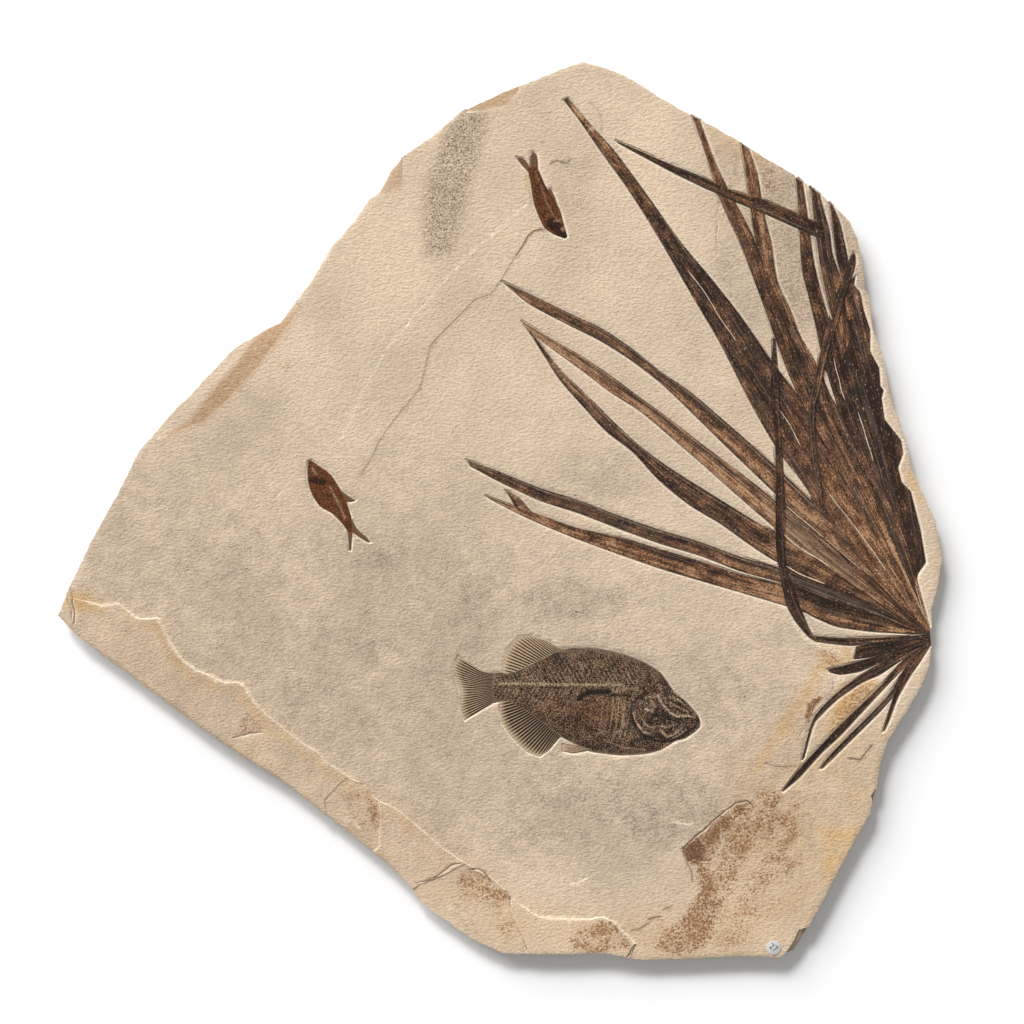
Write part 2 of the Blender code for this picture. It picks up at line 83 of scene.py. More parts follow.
# Cracks in the face, and lines of shade under small steps: line, width and depth in metres. Those with a
# depth above zero are painted dark as painted shade, the deeper the darker; a depth below zero is as deep,
# but painted pale.
CRACKS_AND_SHADE_LINES = [
    ([(545, 229), (534, 231), (528, 236), (523, 246), (517, 254)], 0.0013, 0.0010),
    ([(517, 254), (509, 267), (501, 280.5), (491, 294)], 0.0009, 0.0006),
    ([(491, 294), (483, 297), (475, 299.6), (466, 309), (450, 325), (440, 335), (430, 347)],
      0.0012, 0.0007),
    ([(430, 347), (426, 366), (420, 389), (405, 407), (389, 427), (379, 442), (372, 458), (362, 472)],
      0.0009, 0.0006), ([(362, 472), (352, 490)], 0.0006, 0.0004),
    ([(344, 520), (336, 540), (322, 562), (309, 584)], 0.0006, 0.0004),
    ([(527, 203), (510, 219), (493, 232), (480, 245), (466, 257), (440, 285), (410, 320), (385, 352)],
      0.0008, -0.0004), ([(385, 352), (362, 392), (350, 420), (340, 440)], 0.0008, -0.0004),
    ([(300, 470), (280, 492), (255, 518), (230, 545), (210, 568), (190, 590)], 0.0006, 0.0003),
    ([(571, 883), (575, 882), (580, 884)], 0.0020, -0.0006),
    ([(580, 880), (584, 879), (588, 877)], 0.0016, -0.0005),
    ([(672, 822), (682, 823), (692, 824)], 0.0010, -0.0004),
    ([(344, 819), (352, 822), (360, 828)], 0.0012, -0.0004),
    ([(550, 164), (557, 160), (561, 162), (567, 164), (571, 159)], 0.0010, 0.0008),
    ([(849, 758), (860, 760), (864, 755), (872, 745)], 0.0012, 0.0010),
    ([(590, 102), (597, 108), (602, 118), (601, 131)], 0.0007, 0.0005),
    # From here to the line ending at (627, 959): shade lines under small steps round the rust patch, cut and
    # painted dark as painted shade
    ([(683, 849), (690, 842), (696, 836), (704, 830), (713, 821), (723, 813), (736, 803), (748, 801),
      (754, 808)], 0.0027, 0.0012), ([(683, 851), (686, 860), (691, 870), (693, 882)], 0.0014, 0.0008),
    ([(672, 906), (663, 910)], 0.0014, 0.0008), ([(661, 917), (649, 919)], 0.0016, 0.0010),
    ([(649, 923), (640, 929), (631, 931)], 0.0014, 0.0008),
    ([(636, 946), (631, 952), (627, 959)], 0.0014, 0.0010),
    ([(716, 194), (720, 207), (716, 216), (718, 227), (716, 240), (725, 249), (740, 264), (731, 268),
      (720, 277), (733, 290), (731, 294), (746, 309)], 0.0012, 0.0004),
    ([(733, 150), (738, 158), (734, 170), (740, 180), (730, 188)], 0.0012, 0.0005),
    ([(771, 196), (774, 191), (780, 191), (782, 197), (778, 202), (773, 201), (771, 197)], 0.0010, 0.0004),
    ([(69, 585), (72, 595), (73, 605), (75, 613), (74, 625)], 0.0014, 0.0006),
    ([(66, 594), (68, 600), (72, 609), (72, 620)], 0.0010, 0.0005),
    ([(416, 883), (428, 881), (437, 877), (445, 870), (452, 865), (462, 863)], 0.0010, 0.0007),
    ([(458, 875), (463, 871), (470, 869), (478, 869), (485, 873), (490, 879), (492, 883)], 0.0020, 0.0009),
    ([(498, 892), (504, 892), (508, 898), (510, 906)], 0.0018, 0.0008),
    ([(436, 899), (437, 890), (443, 883), (452, 879)], 0.0008, 0.0004),
    ([(509, 909), (515, 924), (523, 937), (527, 949)], 0.0010, 0.0006),
    ([(455, 904), (466, 912), (473, 922), (476, 932)], 0.0009, 0.0005),
    ([(446, 914), (454, 912), (463, 919), (470, 932)], 0.0009, 0.0005),
    ([(440, 914), (448, 908), (458, 909), (468, 918)], 0.0008, -0.0004),
    ([(472, 937), (484, 942), (495, 948)], 0.0008, 0.0004),
    ([(232, 738), (248, 734), (262, 733)], 0.0010, 0.0005),
    ([(401, 158), (402, 170), (401, 180)], 0.0008, 0.0005),
    ([(764, 763), (779, 767), (796, 766)], 0.0014, 0.0007),
    ([(833, 680), (834, 688), (826, 697), (812, 706), (808, 716), (807, 724), (797, 740)], 0.0012, 0.0006)]
# Stains on the stone: a loop, the width over which it fades, and its strength.
OCHRE = [
    ([(57, 614), (76, 633), (122, 667), (209, 731), (279, 777), (350, 832), (386, 860), (419, 900),
      (419, 906), (380, 864), (330, 822), (209, 737), (122, 672), (60, 622)], 2, 0.7),
    ([(300, 306), (289, 326), (276, 344), (254.5, 373), (226, 402), (205, 422), (177, 432), (166, 436),
      (190, 420), (200, 406), (212, 390), (238, 362), (248, 344), (262, 330), (278, 321)], 4, 0.9),
    ([(466, 108), (481, 111), (506, 105), (519, 91.5), (519, 84), (506, 88), (489, 96)], 3, 0.8),
    ([(378, 192), (384, 193), (395, 190), (402, 187), (401, 156), (391, 168)], 3, 0.6)]
RUST = [
    ([(683, 849), (696, 836), (713, 821), (723, 813), (736, 803), (748, 801), (740, 822), (722, 842),
      (712, 868), (716, 905), (716, 935), (700, 952), (672, 955), (655, 948), (668, 930), (682, 915),
      (697, 892), (698, 870), (686, 860)], 6, 0.66),
    ([(703, 834), (722, 816), (740, 804), (750, 806), (736, 822), (716, 840), (704, 856)], 5, 0.86),
    ([(682, 847), (700, 836), (706, 850), (700, 866), (686, 861)], 3, 1.15),
    ([(694, 866), (708, 862), (716, 884), (722, 900), (714, 934), (704, 930), (699, 895)], 7, 0.76),
    ([(700, 890), (708, 900), (692, 926), (676, 936), (662, 950), (664, 940), (680, 922)], 8, 0.70),
    ([(723, 813), (748, 801), (768, 800), (760, 840), (744, 872), (728, 905), (716, 935), (712, 868)],
      16, 0.60),
    ([(748, 801), (786, 797), (808, 812), (806, 850), (790, 885), (765, 912), (740, 948), (700, 955),
      (716, 930), (735, 890), (752, 850)], 40, 0.54),
    ([(343, 781), (362, 789), (376, 803), (379, 822), (374, 842), (362, 838), (352, 815), (340, 795)],
      6, 0.36),
    ([(358, 786), (368, 792), (378, 806), (381, 824), (376, 836), (366, 832), (368, 812)], 9, 0.62),
    ([(455, 880), (470, 872), (487, 880), (500, 895), (508, 907), (500, 914), (480, 906), (462, 897)],
      8, 0.44),
    ([(458, 876), (470, 869), (486, 873), (493, 884), (504, 892), (510, 904), (498, 904), (484, 894),
      (462, 888)], 6, 0.60), ([(492, 924), (508, 920), (518, 934), (508, 944)], 8, 0.52),
    ([(568, 940), (580, 926), (600, 920), (614, 922), (632, 938), (630, 950), (600, 953), (570, 951)],
      8, 0.60), ([(234, 736), (238, 718), (250, 711), (264, 730), (252, 733)], 3, 0.46),
    ([(758, 168), (775, 165), (777, 192), (764, 195)], 8, 0.55),
    ([(700, 118), (770, 150), (860, 215), (872, 330), (820, 335), (770, 330), (740, 260), (715, 190)],
      16, 0.16), ([(640, 940), (690, 905), (700, 955), (650, 958)], 16, 0.42),
    ([(810, 701), (816, 697), (823, 695), (820, 703), (814, 709), (811, 718), (808, 723), (805, 716),
      (806, 706)], 3, 1.0),
    ([(838, 702), (868, 678), (882, 688), (850, 722), (834, 748), (827, 738), (832, 714)], 6, 0.52),
    ([(820, 648), (836, 650), (842, 664), (828, 668), (820, 660)], 4, 0.50),
    ([(276, 358), (292, 356), (293, 376), (278, 374)], 8, 0.22),
    ([(780, 330), (800, 345), (812, 330), (800, 300)], 10, 0.30),
    ([(758, 792), (775, 790), (786, 800), (776, 812), (760, 806)], 8, 0.72),
    ([(760, 806), (780, 812), (776, 826), (756, 834), (748, 826)], 10, 0.66),
    ([(790, 800), (802, 803), (800, 812), (790, 810)], 6, 0.62)]
YELLOW = [
    ([(60, 594), (84, 592), (112, 600), (108, 612), (78, 612), (62, 606)], 8, 0.8),
    ([(112, 604), (140, 618), (158, 620), (172, 644), (196, 670), (226, 683), (246, 688), (268, 716),
      (305, 744), (352, 779), (380, 803), (425, 834), (464, 864), (440, 858), (380, 815), (340, 790),
      (262, 732), (235, 698), (186, 680), (154, 636)], 14, 0.55),
    ([(826, 655), (820, 678), (808, 695), (797, 712), (782, 735), (768, 750), (758, 760), (772, 738),
      (788, 712), (804, 690), (812, 670)], 6, 0.85),
    ([(812, 640), (850, 648), (856, 664), (842, 668), (824, 668), (818, 656)], 8, 0.9),
    ([(838, 700), (870, 676), (884, 688), (850, 722), (834, 750), (826, 738), (832, 712)], 6, 0.85),
    ([(836, 690), (846, 680), (870, 676), (882, 668), (870, 682), (852, 694)], 5, 0.8),
    ([(824, 652), (830, 668), (812, 702), (792, 737), (766, 768), (748, 778), (757, 757), (784, 716),
      (808, 680)], 14, 0.6), ([(818, 826), (866, 824), (850, 856), (832, 886), (822, 876)], 14, 0.90),
    ([(903, 470), (915, 472), (924, 500), (918, 508)], 7, 0.6),
    ([(700, 112), (730, 130), (770, 156), (760, 170), (720, 150)], 12, 0.35),
    ([(524, 172), (530, 174), (531, 192), (526, 192)], 3, 0.6),
    ([(400, 806), (520, 905), (620, 915), (700, 905), (720, 958), (520, 955), (420, 900)], 40, 0.30),
    ([(740, 770), (850, 690), (885, 740), (872, 820), (815, 915), (770, 955), (640, 958), (700, 900)],
      60, 0.34),
    ([(60, 600), (140, 615), (200, 672), (262, 725), (378, 805), (470, 875), (600, 955), (480, 950),
      (300, 795), (100, 655)], 20, 0.16)]
# Greyish mottles under the face: middle, half width and half height, strength.
MOTTLES = [
    ((726, 260), (22, 60), 0.45), ((750, 310), (16, 30), 0.5), ((786, 215), (14, 40), 0.5),
    ((792, 290), (18, 50), 0.55), ((725, 150), (22, 26), 0.35), ((780, 180), (18, 20), 0.35),
    ((900, 330), (16, 60), 0.3), ((600, 600), (70, 22), 0.5), ((560, 600), (40, 30), 0.45),
    ((645, 480), (42, 34), 0.42), ((700, 350), (45, 50), 0.38), ((600, 800), (90, 30), 0.5),
    ((670, 820), (60, 26), 0.45), ((540, 840), (60, 24), 0.4), ((480, 570), (60, 40), 0.28),
    ((400, 560), (50, 30), 0.35), ((370, 640), (26, 26), 0.4), ((720, 690), (60, 40), 0.25),
    ((560, 420), (60, 30), 0.2), ((430, 470), (60, 40), 0.22), ((240, 560), (70, 40), 0.25),
    ((330, 700), (80, 30), 0.2), ((375, 558), (24, 14), 0.5), ((600, 490), (30, 20), 0.4),
    ((600, 460), (60, 30), 0.3), ((660, 830), (40, 16), 0.4), ((470, 600), (40, 26), 0.3),
    ((440, 660), (36, 24), 0.35), ((300, 690), (30, 20), 0.3), ((330, 640), (50, 24), 0.3),
    ((700, 800), (50, 24), 0.3), ((780, 700), (24, 24), 0.3), ((545, 600), (24, 14), 0.4),
    ((620, 700), (120, 90), 0.2), ((730, 400), (24, 30), 0.2), ((560, 555), (60, 14), 0.25),
    ((550, 250), (30, 30), 0.2), ((610, 230), (30, 40), 0.2), ((620, 250), (40, 60), 0.15),
    ((460, 620), (50, 30), 0.35), ((760, 640), (40, 20), 0.3)]
# Patches with fine dark specks: a loop, its fade and its strength.
SPECKS = [
    ([(450, 121), (470, 111), (485, 115), (485, 130), (476, 169), (465, 209), (450, 257), (425, 256),
      (423, 199), (438, 150)], 14, 1.0), ([(545, 160), (590, 158), (592, 210), (560, 214)], 14, 0.35),
    ([(755, 150), (850, 215), (865, 300), (800, 330), (745, 240)], 14, 0.6),
    ([(356, 640), (376, 640), (378, 668), (360, 668)], 8, 0.5),
    ([(358, 716), (370, 716), (370, 724), (358, 724)], 4, 0.6)]
# Where the stone split by itself between the upper leaflets.
SPLIT_FACE = [
    (700, 118), (770, 150), (860, 215), (872, 330), (820, 335), (770, 330), (740, 260), (690, 130)]
# Broken places: their loop, the levels they are cut to and come up to, and their slope to the edge.
SCARS = [
    ([(306, 300), (289, 326), (254, 374), (226, 403), (205, 424), (177, 434), (150, 442), (120, 440),
      (225, 320), (285, 280)], 0.0170, 0.0190, 0.0010),
    ([(462, 116), (484, 114), (508, 107), (523, 91), (523, 70), (466, 88)], 0.0184, 0.0196, 0.0010),
    ([(800, 925), (790, 945), (775, 968), (815, 970), (825, 920)], 0.0140, 0.0192, 0.0034),
    ([(868, 798), (873, 786), (890, 786), (890, 808), (870, 808)], 0.0160, 0.0190, 0.0028),
    ([(417, 886), (435, 875), (464, 861), (495, 879), (513, 895), (513, 906), (529, 942), (533, 970),
      (440, 970), (395, 900)], 0.0178, 0.0201, 0.0008),
    ([(343, 774), (364, 782), (382, 802), (384, 820), (383, 850), (366, 862), (325, 855), (320, 800)],
      0.0178, 0.0202, 0.0006)]
# The step down from the raised rim: as it is cut, and the finer line that it follows.
LEDGE_GUESS = [
    (88, 601.5), (120, 604), (140, 618), (156, 618), (169, 640), (194, 668), (226, 683), (246, 688),
    (266, 713), (305, 742), (350, 776), (380, 803), (423, 833), (464, 862), (490, 876.5), (510, 898),
    (546, 917.5), (589, 920), (599, 916), (622, 931), (636, 944)]
LEDGE_LINE = [
    (90, 602), (103, 606), (118, 603), (125, 608), (132, 614), (140, 619), (157, 618), (161, 622),
    (165, 632), (170, 642), (178, 654), (184, 661), (195, 669), (205, 673), (215, 678), (225, 682),
    (241, 682), (245, 687), (252, 698), (264, 712), (280, 725), (300, 741), (320, 753), (326, 762),
    (345, 773), (360, 784), (377, 800), (396, 808), (420, 828), (446, 850), (460, 860), (490, 876.5),
    (520, 905), (540, 917), (565, 918.5), (590, 919), (602, 916.5), (610, 919), (617, 923), (622, 930),
    (628, 936), (635, 943)]
# Thin walls of stone between leaflets: line and width in plan steps.
SLIVERS = [
    ([(688, 271), (702, 288.5), (710, 301), (720, 318), (730, 332), (736.5, 341.4)], 0.9),
    ([(829, 493), (839, 507), (849, 519), (858, 531), (870, 547), (886, 570)], 0.8),
    ([(779.5, 410), (790, 425), (797, 439), (801, 447)], 0.7),
    ([(785, 505), (790, 509), (800, 518), (810, 526), (824, 538)], 0.9),
    ([(824, 538), (842, 553), (862, 571)], 0.5), ([(784, 535), (800, 548), (820, 560), (830, 567)], 1.3),
    ([(786, 566), (800, 574), (815, 580), (825, 584)], 1.3),
    ([(858, 412), (862, 424), (864, 430), (867.6, 443), (871, 453), (873, 461)], 0.9),
    ([(834, 358), (836, 369), (839, 379), (841, 389), (845, 400)], 0.8),
    ([(817, 261), (820, 279), (825, 298), (829, 312), (832, 320)], 1.4)]
# Rims that catch the light below bent leaflets: line, width in plan steps and strength.
CRESCENTS = [
    ([(784, 604), (790, 616), (798, 630), (806, 639), (818, 646), (830, 650), (840, 650)], 3.6, 0.75),
    ([(817, 670), (825, 677), (840, 680), (855, 677), (870, 672), (885, 664)], 2.8, 0.55)]
# Leaflets: the two margins, each from the tip to the base of the leaf.
LEAFLETS = [
    ([(564, 100), (580, 121), (600, 150), (630, 192), (660, 240), (690, 292), (720, 343), (750, 402),
      (776, 447), (800, 479), (830, 521), (880, 580), (928, 632)], [(568, 98), (594, 128), (617, 154),
      (650, 199), (680, 241), (710, 277), (740, 315), (772, 361), (800, 398), (808, 413), (840, 470),
      (885, 550), (930, 630)]),
    ([(692.5, 116), (706, 155), (721, 202), (740, 244), (760, 296), (780, 351), (801, 402), (840, 480),
      (886, 560), (929, 631)], [(699.5, 120), (714, 159), (729, 191), (755, 241), (770, 290), (785, 330),
      (805, 380), (830, 430), (885, 540), (930, 629)]),
    ([(741.5, 144), (745, 168), (751, 210), (755, 237), (765, 280), (785, 330), (810, 390), (860, 490),
      (928, 628)], [(749, 149.5), (757, 173), (764, 213), (771, 242), (777, 280), (790, 309), (800, 335),
      (817, 366), (835, 420), (870, 490), (929.5, 627)]),
    ([(616, 140.5), (640, 151), (670, 164), (700, 176), (730, 190), (762, 199), (790, 211), (822, 225)],
      [(618, 142.5), (645, 157), (675, 173), (706, 188), (735, 201), (769, 215), (800, 229), (822, 239)]),
    ([(796, 177), (798, 202), (800, 240), (802, 270), (809, 298), (816, 328), (821, 351), (838, 408),
      (860, 460), (900, 540), (929, 628)], [(802.5, 182), (806, 206), (810, 235), (813, 258), (818, 280),
      (824, 303), (835, 340), (850, 400), (870, 460), (905, 540), (929.5, 627)]),
    ([(811, 187.5), (813, 209), (816.7, 238), (820, 263), (825, 288), (831, 314), (842, 360)],
      [(819.5, 194), (823.6, 210), (829.4, 231), (832, 252), (838.5, 272), (841, 283), (850, 340)]),
    ([(830, 202.5), (833, 229), (837, 258), (841, 275), (848, 320)], [(833, 206), (839.7, 222),
      (843.7, 239), (847.7, 258), (850, 275), (856, 320)]),
    ([(853.5, 253), (849, 262), (842, 280), (834, 302), (821, 350), (812, 390), (808.5, 410), (810, 450),
      (816, 490), (820, 507)], [(855, 254.5), (855, 264), (850, 282), (845, 298), (829, 350), (820, 390),
      (815, 410), (817, 450), (822, 490), (823, 507)]),
    ([(502.5, 281.5), (530, 294), (570, 313.6), (600, 327.4), (630, 347), (660, 371), (690, 391.5),
      (720, 417), (750, 443), (775, 466), (811, 500), (840, 531), (880, 580), (915, 620)], [(510, 288),
      (530, 304), (570, 325), (600, 340), (630, 359), (660, 382), (690, 410.5), (720, 440), (750, 469),
      (774, 492), (797, 516), (820, 535), (850, 560), (885, 590), (915, 621)]),
    ([(522, 321), (550, 338), (580, 355), (610, 375), (640, 397.5), (670, 419), (700, 442.5), (730, 465),
      (760, 488), (779, 504), (800, 520), (830, 546), (865, 580), (912, 622)], [(525, 327), (550, 346.7),
      (580, 368.4), (610, 391.4), (640, 410.5), (670, 435.7), (700, 461.6), (730, 488.4), (760, 514.6),
      (784, 535), (810, 554), (841, 577), (875, 600), (912, 625)]),
    ([(527, 325), (541, 344), (562, 371), (590, 398), (615, 423), (640, 446), (670, 468), (700, 487),
      (730, 505.6), (760, 524), (784, 537), (841, 578), (880, 604), (915, 627)], [(524, 325), (533.6, 339),
      (545, 357), (560, 380), (582, 405), (606, 431), (632, 451), (660, 481), (690, 505), (720, 523),
      (750, 544.5), (776, 561), (830, 587.6), (870, 604), (915, 628)]),
    ([(466.8, 460), (500, 472), (540, 488), (580, 500.6), (620, 516), (660, 529.7), (700, 542),
      (740, 556.5), (778, 568), (830, 590), (870, 606), (915, 629)], [(470, 465.5), (500, 481.5),
      (540, 500), (580, 513), (620, 528.5), (660, 543), (700, 555), (740, 570.6), (780, 582), (830, 600),
      (870, 613), (915, 630)]),
    ([(486, 496), (510, 505), (540, 515), (580, 528.6), (620, 537), (660, 549), (700, 561), (740, 574.4),
      (780, 584), (830, 600), (870, 614), (915, 630)], [(490, 498.7), (520, 514), (550, 527.4),
      (580, 539.5), (620, 554), (660, 568), (700, 580), (740, 591.6), (785, 605), (801, 610), (833, 625),
      (870, 631), (915, 633)]),
    ([(505.5, 490.5), (511, 499), (517, 509), (532, 516)], [(509.5, 491.7), (520, 498.7), (531, 511),
      (540, 517)]),
    ([(773, 340), (771, 389), (775, 440), (775.5, 500), (775.5, 535), (777, 555), (785, 600), (794, 619),
      (808, 636), (817, 641)], [(775, 338), (779, 389), (781, 440), (785, 500), (785, 535), (786, 565),
      (798, 600), (805, 619), (812, 634), (818, 637)]),
    ([(811, 636), (849, 638), (890, 637), (929, 634.5)], [(815, 641), (850, 645), (875, 643), (913, 638),
      (930, 636.5)]),
    ([(857, 647), (875, 643.4), (905, 640), (929, 637)], [(854, 659), (868, 657.4), (894, 651), (913, 645),
      (930, 640)]),
    ([(828, 669.5), (850, 664), (870, 658.7), (890, 652), (910, 645), (929, 639)], [(829, 671.5),
      (840, 674), (860, 671), (880, 662.5), (900, 653.6), (930, 642)]),
    ([(802, 760), (804.6, 749), (810, 729), (816, 715), (830, 699.5), (850, 683), (870, 670), (890, 658.7),
      (929, 640)], [(804, 758), (809, 738), (815, 721), (836.5, 699.5), (860, 683), (880, 674), (900, 661),
      (930.5, 643)]),
    ([(782.5, 791), (800, 768.4), (820, 746.7), (840, 725.6), (860, 706.5), (880, 686.7), (901.6, 662.5),
      (930, 640)], [(784, 790), (800, 776), (820, 753.7), (840, 735), (860, 713.5), (880, 692),
      (905.4, 666), (930.5, 643)]),
    ([(820.5, 768.5), (830, 755.6), (850, 735), (870, 715), (890, 693), (905, 669), (930, 641)],
      [(822.5, 768), (840, 750.5), (860, 730.7), (880, 711), (900, 689), (918, 664), (931, 644)]),
    ([(883, 731.4), (887.6, 717), (895, 694.4), (905, 672)], [(884.4, 730), (889, 720), (897.7, 697),
      (912, 672)])]
# How each leaflet looks: its layer in the pile, its warmth, and where across it a pale seam runs.
LEAF_LOOKS = [
    (1, 0.16, 0.0), (1, 0.24, 0.0), (0, 0.50, 0.0), (3, 0.00, 0.0), (1, 0.10, 0.0), (2, 0.05, 0.0),
    (1, 0.00, 0.0), (4, 0.05, 0.0), (2, 0.55, 0.13), (2, 0.90, 0.12), (1, 0.22, 0.14), (2, 0.38, 0.15),
    (1, 0.72, 0.0), (1, 0.40, 0.0), (4, -0.18, 0.0), (3, 0.00, 0.0), (1, -0.25, 0.0), (2, -0.25, 0.0),
    (1, -0.25, 0.0), (2, -0.22, 0.0), (1, -0.20, 0.0), (1, -0.20, 0.0)]
# The dark fan in which the leaflets run together, the end of the leaf below it, and a gap in it.
FAN = [
    (808, 412), (812, 390), (817, 367), (821, 351), (826, 328), (832, 318), (836, 300), (846, 268),
    (850, 281), (855, 277), (854, 285), (860, 292), (864, 311), (870, 329), (870, 351), (879, 367.6),
    (880.3, 386), (883.5, 390), (881.5, 398), (884.5, 419), (893, 430), (901, 440), (903, 453), (898, 467),
    (901.6, 482), (910.5, 491), (920, 528), (925.8, 562), (918, 573.5), (915, 586), (924, 617),
    (929.5, 629), (930, 634), (907, 634), (875, 631.3), (840, 627), (816, 618), (801, 610), (786, 604),
    (785, 476), (800, 490.5), (811, 500), (812, 450)]
LEAF_BASE = [
    (922, 622), (929.5, 629), (930.3, 635), (931, 642), (931.2, 645), (922, 652), (926, 642), (926, 634)]
FAN_GAP = [(825, 369), (829, 377), (834, 392), (839, 409), (831, 396), (825, 382), (823, 374)]
# The large fish's body: upper and lower margin, from the tail to the head.
LARGE_BODY = [
    [(492, 674.5), (510, 673), (535, 662), (560, 650), (590, 647.5), (620, 653), (640, 660), (660, 672),
      (673, 690), (686, 701), (697, 714), (700, 722)],
    [(492, 702), (510, 702), (535, 717), (560, 736), (590, 751), (620, 755), (645, 753.5), (660, 749.8),
      (675, 741), (685, 738), (695, 731), (699, 727)]]
# The small fishes' parts, body first: upper and lower margin, from the tail to the head.
SMALL_FISH_UPPER = [
    ([(529, 166), (537, 168), (545, 185), (553, 197), (560, 211), (564, 226), (567, 236)], [(528, 171),
      (530.5, 182), (534, 203), (540, 219), (545, 228), (554, 234), (565, 238)]),
    ([(517, 157.5), (524, 159), (530, 167), (534, 170)], [(518, 160), (524, 167), (528, 171), (532, 174)]),
    ([(533, 151.5), (536.5, 155), (537.5, 163), (538, 172)], [(530.5, 156), (530.5, 162), (530.5, 168),
      (532, 173)]),
    ([(548, 189), (551, 189.5), (555, 198), (557, 205)], [(547, 191), (549, 195), (552, 202), (555, 206)])]
SMALL_FISH_LOWER = [
    ([(352, 531), (351, 518), (346, 501.5), (341, 491), (333, 478), (327, 471.5), (319, 466), (311, 460.3)],
      [(347.5, 531), (342, 523), (332, 513), (320, 506), (313, 496), (309, 486), (307.5, 473),
      (308, 461.5)]), ([(350.5, 550), (351.5, 538), (353, 526)], [(349, 550), (348.5, 540), (347, 526)]),
    ([(370, 542), (366, 537), (357, 529), (352, 520)], [(366, 541), (356, 534.5), (349, 528)]),
    ([(355, 500.5), (346, 494.5), (338, 488)], [(350, 501.5), (344, 501), (338, 496)])]
# Fins of the large fish: first ray, last ray, outer margin, root, number of rays, paleness.
LARGE_FINS = [
    ([(458, 656.3), (470, 664), (484, 672), (500, 674), (508, 676)], [(465, 719.5), (478, 711.5),
      (493, 703), (500, 701), (508, 700)], [(458, 656.3), (455.5, 661), (453.3, 666), (453.5, 670),
      (455, 676), (458, 682), (460.5, 688), (461.5, 694), (461, 700), (460, 706), (460.5, 712), (462, 717),
      (465, 719.5)], None, 22, -0.50),
    ([(503, 673), (535, 679)], [(560, 650), (576, 657)], [(503, 673), (504, 665), (505, 659), (507, 653),
      (510, 647), (515, 641), (520, 637), (525, 636), (531, 636), (537, 637.5), (543, 639.5), (549, 643),
      (555, 647), (560, 650)], [(535, 679), (545, 667), (556, 658), (566, 652), (576, 657)], 25, 0.0),
    ([(501, 699), (535, 693)], [(560, 736), (573, 724)], [(501, 699), (500, 704), (499.5, 710),
      (500.5, 717), (503, 724), (507, 731), (513, 738), (520, 746), (528, 752), (535, 755.5), (540, 756),
      (545, 754), (550, 748), (555, 743), (560, 736)], [(535, 693), (540, 703), (552, 714), (565, 729),
      (573, 724)], 31, -0.7),
    ([(563, 745.5), (575, 747), (592, 746)], [(563, 751), (575, 752.5), (592, 749)], None, None, 5, 0.2)]
# Paler bones and dark hollows on each body: line, width and strength.
LARGE_PALE = [
    ([(658, 696), (663, 705), (670, 712.5), (677, 716.5), (688, 716), (694, 717.5)], 1.7, 0.9),
    ([(668.5, 696.5), (679, 700), (688, 707), (694.5, 715)], 1.5, 0.7),
    ([(671, 703), (680, 708), (688, 712)], 1.3, 0.5),
    ([(634, 699), (632, 711), (636.5, 723), (643.5, 732), (654, 736)], 1.8, 0.75),
    ([(645, 709), (651, 711), (654, 708)], 2.0, 0.8), ([(650.5, 700), (655, 707), (652, 713)], 1.5, 0.6),
    ([(662, 731), (667, 737), (674, 735), (682, 727)], 1.6, 0.8),
    ([(659, 726), (668, 727), (676, 724)], 1.3, 0.5),
    ([(664, 747), (670, 741), (676, 737), (686, 731)], 1.6, 0.6),
    ([(640, 703), (646, 698), (656, 696)], 1.4, 0.6),
    ([(620, 699), (624, 710), (624, 724), (620, 736)], 1.4, 0.5),
    ([(612, 699), (616, 711), (616, 724)], 1.3, 0.4),
    ([(562, 652), (590, 650), (618, 656), (640, 663)], 1.2, 0.25),
    ([(672, 691), (686, 701), (697, 714)], 1.2, 0.75), ([(640, 716), (645, 724), (652, 728)], 1.5, 0.5),
    ([(604, 740), (625, 748), (645, 750)], 1.3, 0.35), ([(622, 690), (632, 688), (642, 692)], 1.6, 0.5)]
LARGE_BLACK = [
    ([(505, 688), (560, 688.5), (620, 688)], 2.0, 0.55),
    ([(661, 742), (670, 741), (679, 738), (687, 733), (695, 727), (699, 719)], 3.4, 0.95),
    ([(632, 716), (636, 727), (644, 736), (654, 740), (662, 742)], 3.2, 0.95),
    ([(672, 694), (680, 699), (688, 706), (694, 714)], 1.8, 0.8),
    ([(640, 694), (650, 692), (660, 692)], 2.2, 0.7),
    ([(579, 699), (584, 694.5), (592, 692), (608, 692)], 6.0, 1.0), ([(610, 695), (630, 695.5)], 3.6, 0.9),
    ([(640, 696), (633, 703), (631, 714), (634, 727), (641, 736)], 3.0, 0.9),
    ([(635, 741), (648, 737), (660, 735)], 5.0, 0.8), ([(670, 719), (684, 718.5), (695, 719)], 1.8, 0.9),
    ([(645, 718), (656, 714), (664, 722)], 3.0, 0.7), ([(652, 708), (658, 709)], 4.0, 0.7),
    ([(686, 706), (692, 714), (695, 722)], 3.0, 0.6), ([(676, 727), (686, 731), (694, 727)], 3.0, 0.6),
    ([(549, 720), (553, 712)], 3.0, 0.6), ([(648, 748), (662, 744), (676, 735)], 2.0, 0.6),
    ([(628, 700), (629, 715), (630, 730)], 1.6, 0.6), ([(634, 698), (641, 697), (645, 700)], 3.4, 0.85),
    ([(655, 713), (660, 716), (668, 718), (676, 721)], 3.2, 0.85),
    ([(661, 741), (672, 741), (681, 736), (690, 729)], 2.6, 0.9),
    ([(637, 704), (640, 712), (641, 720)], 2.4, 0.6), ([(664, 704), (670, 708)], 2.4, 0.6)]
UPPER_PALE = [
    ([(541, 186), (546, 201), (553, 215)], 1.2, 0.45), ([(554, 220.5), (562, 221)], 1.2, 0.55),
    ([(536, 172), (539, 182)], 1.2, 0.4)]
